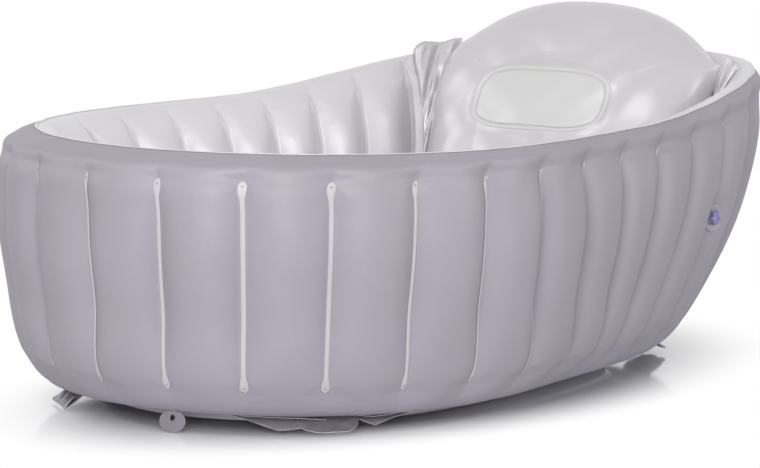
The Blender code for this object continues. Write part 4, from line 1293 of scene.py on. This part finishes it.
    def build(self) -> None:
        """Build and dress every piece of the backrest."""
        for name, full, sign, node in (
                ("backrest_front_film", self.front_depth, 1.0, "backrest_front_skin"),
                ("backrest_rear_film", self.rear_depth, -1.0, "backrest_rear_skin")):
            piece = self.add(name, self.pillow(full, sign), BACK_FILM, Slot.PEARL, [node])
            self.thicken(piece, self.film)
        shares, steps = self.panel_rings, self.panel_lift
        lift = [*steps, *[steps[-1]] * (len(shares) - len(steps))]
        rings = self.panel(shares, [0.0] * len(shares), lift)
        self.add("backrest_bare_panel", Shell.grid(rings, wrap=True, poles=(False, True)),
                 PANEL_FILM, Slot.PANEL, ["backrest_panel"])
        turn = even_turns(self.bead_steps)
        (grow, wide), (lift, high) = self.bead_grow, self.bead_lift
        rings = self.panel([1.0] * self.bead_steps, grow - wide * np.cos(turn), lift + high * np.sin(turn))
        bead = Shell.grid(rings, wrap=True, loop=True).outward()
        self.add("panel_weld_bead", bead, PANEL_FILM, Slot.PEARL)


@dataclass
class CornerFilm(SubAssembly):
    """A wrinkled film between the wall and the backrest's side seam."""

    side: Side = Side.NEAR
    crease: float = 11.5 / 30.0
    foot_height: float = 0.130
    fold: float = 0.0060
    bulge: float = 0.013
    past_corner: float = 0.014
    flat: Pair = (0.055, 0.155)
    gap: float = 0.0016
    sharp: float = 0.85
    slow: float = 0.30
    broad: float = 0.60
    seam_reach: float = 0.0012
    film: float = 0.0008
    rows: int = 110
    columns: int = 80

    def folds(self, across: Array, share: Array) -> Array:
        """Sharp slanting folds, a slow unevenness and one broad fold: zigzags and waves, summed."""
        slant = across * 1.1 - share * 1.9
        sharp = self.sharp * zigzag(1.15 * slant + 0.12 * waves(across, share, 13))
        slow = self.slow * waves(slant * 1.2, (across - share) * 0.6, 31)
        return sharp + slow + self.broad * (zigzag(across * 0.5 + 0.04 * share) + 0.2)

    def build(self, wall: AirWall, back: Backrest) -> None:
        """Stretch the film between the inner wall and the backrest, in sharp slanting folds.

        Args:
            wall: the wall that one edge follows.
            back: the backrest that the other edge follows.
        """
        sign = self.side.value
        fraction = np.array(self.crease if sign < 0.0 else 1.0 - self.crease)
        down = np.linspace(0.004, wall.inner.places[-1], 300)
        line = wall.inner.surface(fraction, down)[::-1]
        outward = PLAN.ring(fraction[None], wall.seam[None])[1][0]
        share = np.linspace(1.0, 0.0, self.rows)[:, None]
        level = self.foot_height + (line[-1, 2] - self.foot_height) * share
        held = np.stack([np.interp(level, line[:, 2], line[:, axis]) for axis in range(3)], -1)
        held[..., :2] -= outward * self.gap
        low = (self.foot_height - back.foot[2]) / back.up[2]
        up = low + (back.corner_up - low) * share
        edge = back.point((back.side_width(up) + self.seam_reach) * sign, up, np.zeros_like(up))
        edge[..., 2] += self.past_corner * smooth_step(0.75, 1.0, share)
        across = np.linspace(0.0, 1.0, self.columns)[None, :]
        grid = held + (edge - held) * across[..., None]
        swell = np.sin(math.pi * across) ** 0.7
        folds = self.folds(across, share)
        normal = np.cross(edge[0, 0] - held[0, 0], held[-1, 0] - held[0, 0])
        normal /= np.linalg.norm(normal)
        grid = grid + (self.fold * swell * folds)[..., None] * normal * -sign
        grid[..., 2] += self.bulge * np.sin(math.pi * across ** 0.4) * bell(1.0 - share, 0.30)
        name = f"corner_film_{self.side.name.lower()}"
        node = "gusset_near" if sign < 0.0 else "gusset_far"
        piece = self.add(name, Shell.grid(grid, flip=sign < 0.0), CORNER_FILM, Slot.PEARL, [node])
        self.thicken(piece, self.film, 0.0)


# Welded edges, tabs, valves and drain

@dataclass
class WeldFlange(SubAssembly):
    """The ruffled flange under the near side, whose two films part in two mouths.

    Each key holds a fraction round the tub, the heights of the upper and the lower film's
    free edges and how far each reaches outward. A lip is the height at which a film starts
    and the power with which it bends down.
    """

    held: float = 0.0275
    flat: Pair = (0.022, 0.250)
    ripple: float = 0.0012
    lips: tuple[Pair, ...] = ((0.0178, 0.8), (0.0172, 1.6))
    keys: tuple[tuple[float, float, float, float, float], ...] = (
        (0.036, 0.0176, 0.0172, 0.004, 0.004), (0.045, 0.0172, 0.0145, 0.008, 0.008),
        (0.062, 0.0172, 0.0045, 0.013, 0.015), (0.072, 0.0168, 0.0072, 0.015, 0.018),
        (0.084, 0.0150, 0.0096, 0.013, 0.015), (0.088, 0.0105, 0.0098, 0.012, 0.012),
        (0.093, 0.0165, 0.0160, 0.008, 0.006), (0.098, 0.0174, 0.0168, 0.006, 0.006),
        (0.104, 0.0172, 0.0118, 0.012, 0.013), (0.109, 0.0165, 0.0085, 0.013, 0.016),
        (0.116, 0.0165, 0.0118, 0.012, 0.012), (0.122, 0.0172, 0.0140, 0.009, 0.009),
        (0.131, 0.0174, 0.0165, 0.007, 0.007), (0.138, 0.0177, 0.0174, 0.004, 0.004))
    columns: int = 240
    rows: int = 14

    def build(self) -> None:
        """Build both films of the flange as one ruffled sheet."""
        table = np.array(self.keys)
        fraction = np.linspace(table[0, 0], table[-1, 0], self.columns)
        heights = [np.interp(fraction, table[:, 0], table[:, column]) for column in range(1, 5)]
        line = held_in(UNDER_LINE, self.held)
        points, outward = PLAN.ring(fraction, line[None])
        share = np.linspace(0.0, 1.0, self.rows)[:, None]
        shells = []
        for edge, reach, (start, bend) in zip(heights[:2], heights[2:], self.lips):
            ripple = self.ripple * waves(fraction * 55.0, fraction * 21.0, 53)[None] * share
            out = reach[None] * share ** 0.8 + ripple
            flat = points[None] + outward[None] * out[..., None]
            level = start + (edge[None] - start) * share ** bend + 0.4 * ripple
            shells.append(Shell.grid(np.concatenate([flat, level[..., None]], -1)))
        # The flange's dark film colour is painted shade.
        piece = self.add("ruffled_weld_flange", Shell.joined(shells), SHADED_FLANGE_FILM, Slot.OUTER,
                         ["base_seam_skirt"])
        self.thicken(piece, WELD_THICKNESS, 0.0, WELD_FILM)


@dataclass
class Tab(SubAssembly):
    """A loose tab of weld film that hangs from the base seam on a hinge of its own.

    The path holds, for even steps down the tab, the share of its length and how far it
    stands off outward, so a path that turns back is a fold.
    """

    name: str = "tab"
    where: Matrix | None = None
    half: float = 0.030
    length: float = 0.026
    roundness: float = 4.0
    hole: Pair | None = None
    path: tuple[Pair, ...] = ((0.0, 0.0), (1.0, 0.0))
    curl: float = 0.002
    crumple: float = 0.0
    jag: float = 0.0
    seed: int = 3
    columns: int = 72
    rows: int = 40

    def spread(self) -> tuple[Array, Array]:
        """Places across, -1 to 1, and down, 0 to 1, of a plain tab or of one with a hole."""
        down = np.linspace(0.0, 1.0, self.rows)[:, None]
        if self.hole is None:
            across = np.linspace(-1.0, 1.0, self.columns)[None, :]
            edge = (1.0 - np.abs(0.985 * across) ** self.roundness) ** (1.0 / self.roundness)
            rough = zigzag(across * 3.3 + 0.3) + waves(across, across, self.seed)
            edge = edge * (1.0 + self.jag * rough)
            return np.broadcast_to(across, (self.rows, self.columns)), down * edge
        drop, radius = self.hole
        turn = even_turns(self.columns)
        wide, high = power_ring(turn, self.roundness)
        inner = (radius * np.cos(turn) / self.half, (drop + radius * np.sin(turn)) / self.length)
        return (inner[0] + (wide - inner[0]) * down, inner[1] + ((1.0 + high) / 2.0 - inner[1]) * down)

    def build(self) -> None:
        """Build the tab on its own body."""
        across, down = self.spread()
        path = np.array(self.path)
        run = through_keys(np.linspace(0.0, 1.0, len(path)), path, np.clip(down, 0.0, 1.0))
        rough = 0.6 * zigzag(across * 1.3 + down * 0.9) + 0.8 * waves(across * 0.9, down * 0.9, self.seed)
        off = run[..., 1] + self.curl * down ** 2 * (1.0 + 0.4 * np.cos(2.2 * across))
        off = off + self.crumple * rough * smooth_step(0.0, 0.5, down)
        reach = run[..., 0] + (down > 1.0) * (down - 1.0)
        local = np.stack([across * self.half, -off, -self.length * reach], -1)
        shell = Shell.grid(local, wrap=self.hole is not None).placed(self.where)
        # The tab's dark film colour is painted shade.
        piece = self.add(f"{self.name}_film", shell, SHADED_FLANGE_FILM, Slot.OUTER, [self.name], self.name)
        self.thicken(piece, WELD_THICKNESS, 0.0, WELD_FILM)


@dataclass
class Valve(SubAssembly):
    """A push-in valve: welded disc, sliding neck, star cap and check flap."""

    name: str = "valve"
    where: Matrix | None = None

    @staticmethod
    def star(turn: Array, radius: Array) -> Array:
        """Six lobes and the strap's root: a(r)(cos 6t + 0.7 exp(-(t/0.26)^2))."""
        wrapped = np.where(turn > math.pi, turn - FULL_TURN, turn)
        return 0.0010 * (radius / 0.0068) ** 4 * (np.cos(6.0 * turn) + 0.7 * bell(wrapped, 0.26))

    def build(self) -> None:
        """Turn the four pieces and set them on their bodies."""
        disc = [(0.0066, -0.0012), (0.0066, 0.0002), (0.0112, 0.0002), (0.0117, 0.0007), (0.0129, 0.0007),
                (0.0134, 0.0002), (0.0140, 0.0002), (0.0143, 0.0006), (0.0149, 0.0006), (0.0151, 0.0),
                (0.0149, -0.0012)]
        neck = [(0.0048, -0.012), (0.0048, 0.0016), (0.0078, 0.0016), (0.0080, 0.0011), (0.0078, 0.0005),
                (0.0062, 0.0005), (0.0061, -0.012)]
        cap = [(0.0004, 0.0002), (0.0040, 0.0002), (0.0043, 0.0006), (0.0043, 0.0020), (0.0068, 0.0020),
               (0.0072, 0.0029), (0.0067, 0.0046), (0.0052, 0.0055), (0.0030, 0.0051), (0.0004, 0.0047)]
        flap = [(0.0004, -0.0133), (0.0050, -0.0133), (0.0058, -0.0130), (0.0058, -0.0124), (0.0004, -0.0124)]
        for part, given, radius, loop, finish, slot, body, node in (
                ("disc", disc, 0.0003, True, VALVE_VINYL, Slot.VALVE, self.body, "flange"),
                ("neck", neck, 0.0004, True, VALVE_VINYL, Slot.VALVE, f"{self.name}_stem", "stem"),
                ("star_cap", cap, 0.0008, False, CAP_VINYL, Slot.CAP, f"{self.name}_cap", "cap"),
                ("check_flap", flap, 0.0003, False, VALVE_VINYL, Slot.VALVE, f"{self.name}_flap", "flap")):
            lobes = self.star if part == "star_cap" else None
            shell = lathe(rounded(given, radius, loop), loop, 96, lobes).placed(self.where)
            self.add(f"{self.name}_{part}", shell, finish, slot, [f"{self.name}_{node}"], body)


@dataclass
class Drain(SubAssembly):
    """The drain through the floor: its moulded socket and a plug with a finger grip."""

    place: Triple = (-0.300, 0.0, 0.0)
    grip_half: Triple = (0.008, 0.0016, 0.006)
    grip_middle: float = 0.0736
    grip_power: float = 2.8
    grip_steps: int = 56
    grip_shares: tuple[float, ...] = (0.2, 0.6, 0.9, 0.97, 1.0, 1.0, 0.97, 0.9, 0.6, 0.2)
    grip_levels: tuple[float, ...] = (-0.7, -0.85, -1.0, -0.8, -0.35, 0.35, 0.8, 1.0, 0.85, 0.7)

    def build(self) -> None:
        """Turn the socket and the plug, and add the plug's grip."""
        where = Matrix.Translation(self.place)
        socket = [(0.0105, 0.0002), (0.0105, 0.0650), (0.0170, 0.0650), (0.0175, 0.0654), (0.0190, 0.0654),
                  (0.0199, 0.0648), (0.0200, 0.0634), (0.0127, 0.0634), (0.0127, 0.0002)]
        plug = [(0.0004, 0.0510), (0.0088, 0.0510), (0.0100, 0.0524), (0.0101, 0.0652), (0.0142, 0.0652),
                (0.0145, 0.0660), (0.0140, 0.0674), (0.0118, 0.0678), (0.0004, 0.0675)]
        shell = lathe(rounded(socket, 0.0004, True), True, 96).placed(where)
        self.add("drain_socket_moulding", shell, VALVE_VINYL, Slot.VALVE, ["drain_socket"])
        turn = even_turns(self.grip_steps)
        wide, high = power_ring(turn, self.grip_power)
        share, thick = (np.array(rings)[:, None] for rings in (self.grip_shares, self.grip_levels))
        half_x, half_y, half_z = self.grip_half
        grid = np.stack([half_x * share * wide, np.repeat(half_y * thick, self.grip_steps, axis=1),
                         self.grip_middle + half_z * share * high], -1)
        grip = Shell.grid(grid, wrap=True, poles=(True, True)).outward()
        shell = Shell.joined([lathe(rounded(plug, 0.0006), steps=96), grip]).placed(where)
        self.add("drain_plug_moulding", shell, CAP_VINYL, Slot.CAP, ["drain_plug"], "drain_plug")


# Studio

@dataclass(frozen=True)
class Lamp:
    """A soft square lamp: metres to the camera's right, towards it and up, its size and watts."""

    name: str
    side: float
    front: float
    height: float
    size: float
    power: float


@dataclass
class Studio:
    """The plain studio: camera, soft lamps, white world and a glossy pale floor."""

    target: Triple = (0.0, 0.0, 0.160)
    azimuth: float = math.radians(-56.85)
    elevation: float = math.radians(6.95)
    distance: float = 4.5
    focal_pixels: float = 4340.0
    image_width: float = 760.0
    sensor: float = 36.0
    shift_pixels: Pair = (14.6, -11.5)
    roll: float = 0.0121
    white_from: Pair = (0.80, 1.22)
    floor_scale: Triple = (2.05, 3.8, 1.0)
    floor_half: float = 30.0
    floor_colour: tuple[float, ...] = (0.93, 0.935, 0.965, 1.0)
    floor_roughness: float = 0.09
    floor_ior: float = 1.5
    world_strength: float = 0.36
    lamps: tuple[Lamp, ...] = (Lamp("key_lamp", -0.3, 2.8, 0.95, 1.2, 33.0),
                               Lamp("right_lamp", 2.9, 0.9, 1.0, 1.2, 15.0),
                               Lamp("left_lamp", -2.6, -0.6, 1.7, 1.1, 8.0),
                               Lamp("top_lamp", -1.3, 1.5, 2.6, 1.1, 11.0))

    def directions(self) -> tuple[Vector, Vector, Vector]:
        """The camera's back, right and up."""
        back = Vector((math.sin(self.azimuth) * math.cos(self.elevation),
                       -math.cos(self.azimuth) * math.cos(self.elevation),
                       math.sin(self.elevation)))
        right = Vector((0.0, 0.0, 1.0)).cross(back).normalized()
        return back, right, back.cross(right)

    def add_camera(self) -> None:
        """The camera at the photograph's angle, aimed a little beside the target."""
        back, right, up = self.directions()
        metres = self.distance / self.focal_pixels
        aim = Vector(self.target) - right * self.shift_pixels[0] * metres
        aim = aim + up * self.shift_pixels[1] * metres
        camera = linked("camera", bpy.data.cameras.new("camera"))
        camera.data.sensor_width = self.sensor
        camera.data.lens = self.focal_pixels / self.image_width * self.sensor
        turn = Matrix((right, up, back)).transposed().to_4x4()
        turn = Matrix.Rotation(self.roll, 4, back) @ turn
        turn.translation = aim + back * self.distance
        camera.matrix_world = turn
        bpy.context.scene.camera = camera

    def add_lamp(self, lamp: Lamp) -> None:
        """Hang one lamp and aim it at the tub."""
        back, right, _ = self.directions()
        ahead = Vector((back.x, back.y, 0.0)).normalized()
        place = right * lamp.side + ahead * lamp.front + Vector((0.0, 0.0, lamp.height))
        light = bpy.data.lights.new(lamp.name, "AREA")
        light.size = lamp.size
        light.energy = lamp.power
        made = linked(lamp.name, light)
        made.location = place
        made.rotation_mode = "QUATERNION"
        made.rotation_quaternion = (place - Vector(self.target)).to_track_quat("Z", "Y")

    def add_world(self) -> None:
        """A white world: plain light for the tub, and pure white behind it and in its gloss."""
        shade = Shading(bpy.data.worlds.new("studio"))
        bpy.context.scene.world = shade.owner
        seen = shade.node("ShaderNodeLightPath", output="Is Camera Ray")
        mirrored = shade.node("ShaderNodeLightPath", output="Is Glossy Ray")
        light, shown = (shade.node("ShaderNodeBackground", None, {"Color": WHITE, "Strength": strength})
                        for strength in (self.world_strength, 1.0))
        either = seen.math("MAXIMUM", mirrored)
        blend = shade.node("ShaderNodeMixShader", None, {0: either, 1: light, 2: shown})
        shade.node("ShaderNodeOutputWorld", None, {"Surface": blend})

    def add_floor(self) -> None:
        """A wide glossy white floor at z = 0 that turns pure white away from the tub."""
        mesh = bpy.data.meshes.new("studio_floor")
        half = self.floor_half
        corners = [(-half, -half, 0.0), (half, -half, 0.0), (half, half, 0.0), (-half, half, 0.0)]
        mesh.from_pydata(corners, [], [(0, 1, 2, 3)])
        floor = linked("studio_floor", mesh)
        shade = Shading(bpy.data.materials.new("studio_floor"))
        oval = shade.stretched(shade.place(), self.floor_scale)
        away = shade.node("ShaderNodeVectorMath", {"operation": "LENGTH"}, {0: oval}, "Value")
        white = away.stepped(*self.white_from) * shade.node("ShaderNodeLightPath", output="Is Camera Ray")
        gloss = shade.node("ShaderNodeBsdfPrincipled", None, {
            "Base Color": self.floor_colour, "Roughness": self.floor_roughness, "IOR": self.floor_ior})
        glow = shade.node("ShaderNodeEmission", None, {"Color": WHITE, "Strength": 1.0})
        blend = shade.node("ShaderNodeMixShader", None, {0: white, 1: gloss, 2: glow})
        shade.node("ShaderNodeOutputMaterial", None, {"Surface": blend})
        mesh.materials.append(shade.owner)

    def build(self) -> None:
        """Set up the whole studio."""
        self.add_camera()
        self.add_world()
        self.add_floor()
        for lamp in self.lamps:
            self.add_lamp(lamp)
        bpy.context.scene.view_settings.view_transform = "Standard"


VALVES = (
    Valve(name="wall_valve", where=WALL_VALVE),
    Valve(name="backrest_valve", where=BACK_VALVE),
    Valve(name="floor_valve", where=frame_at((-0.245, 0.075, 0.0646), (-1.0, 0.0, 0.0), (0.0, 0.0, 1.0))))

TABS = (
    Tab(name="foot_tab", half=0.0140, length=0.0206, roundness=2.15, hole=(0.0070, 0.0028), curl=0.005,
        columns=64, rows=16, where=frame_at(
            (-0.425368, -0.025693, 0.020867), (0.121785, -0.992557, 0.0), (0.0, 0.0, 1.0))),
    Tab(name="near_corner_tab", half=0.030, length=0.0265, roundness=2.6, curl=0.0025, crumple=0.0006,
        where=frame_at((-0.346115, -0.149294, 0.018062), (0.707195, -0.707019, 0.0),
                       (0.57199, 0.572133, 0.587785))),
    Tab(name="far_corner_tab", half=0.030, length=0.0265, roundness=5.0, curl=0.0008, crumple=0.0006,
        jag=0.04, seed=8,
        path=((0.0, 0.0), (0.28, -0.0006), (0.56, -0.0009), (0.84, -0.0009), (0.97, -0.0002), (0.86, 0.0006),
              (0.62, 0.0009), (0.38, 0.0009)),
        where=frame_at((-0.356598, 0.138001, 0.018062), (-0.6526, -0.757703, 0.0),
                       (0.612995, -0.527964, 0.587785))),
    Tab(name="head_tab", half=0.030, length=0.031, roundness=3.0, crumple=0.0013, jag=0.015, curl=0.006,
        seed=5, where=frame_at((0.297306, -0.120936, 0.020484), (0.510725, 0.859744, 0.0),
                               (-0.658602, 0.391238, 0.642788))))


def main() -> None:
    """Build every sub-assembly in order."""
    logging.basicConfig(level=logging.INFO, format="%(name)s: %(message)s")
    Studio().build()
    wall = AirWall()
    wall.build()
    AirFloor().build(wall)
    back = Backrest()
    back.build()
    CornerFilm(side=Side.NEAR, crease=12.2 / PLAN.ribs, fold=0.0035, bulge=0.0,
               flat=(0.030, 0.150)).build(wall, back)
    CornerFilm(side=Side.FAR, crease=11.65 / PLAN.ribs, bulge=0.009).build(wall, back)
    WeldFlange().build()
    Drain().build()
    for piece in (*VALVES, *TABS):
        piece.build()


if __name__ == "__main__":
    main()
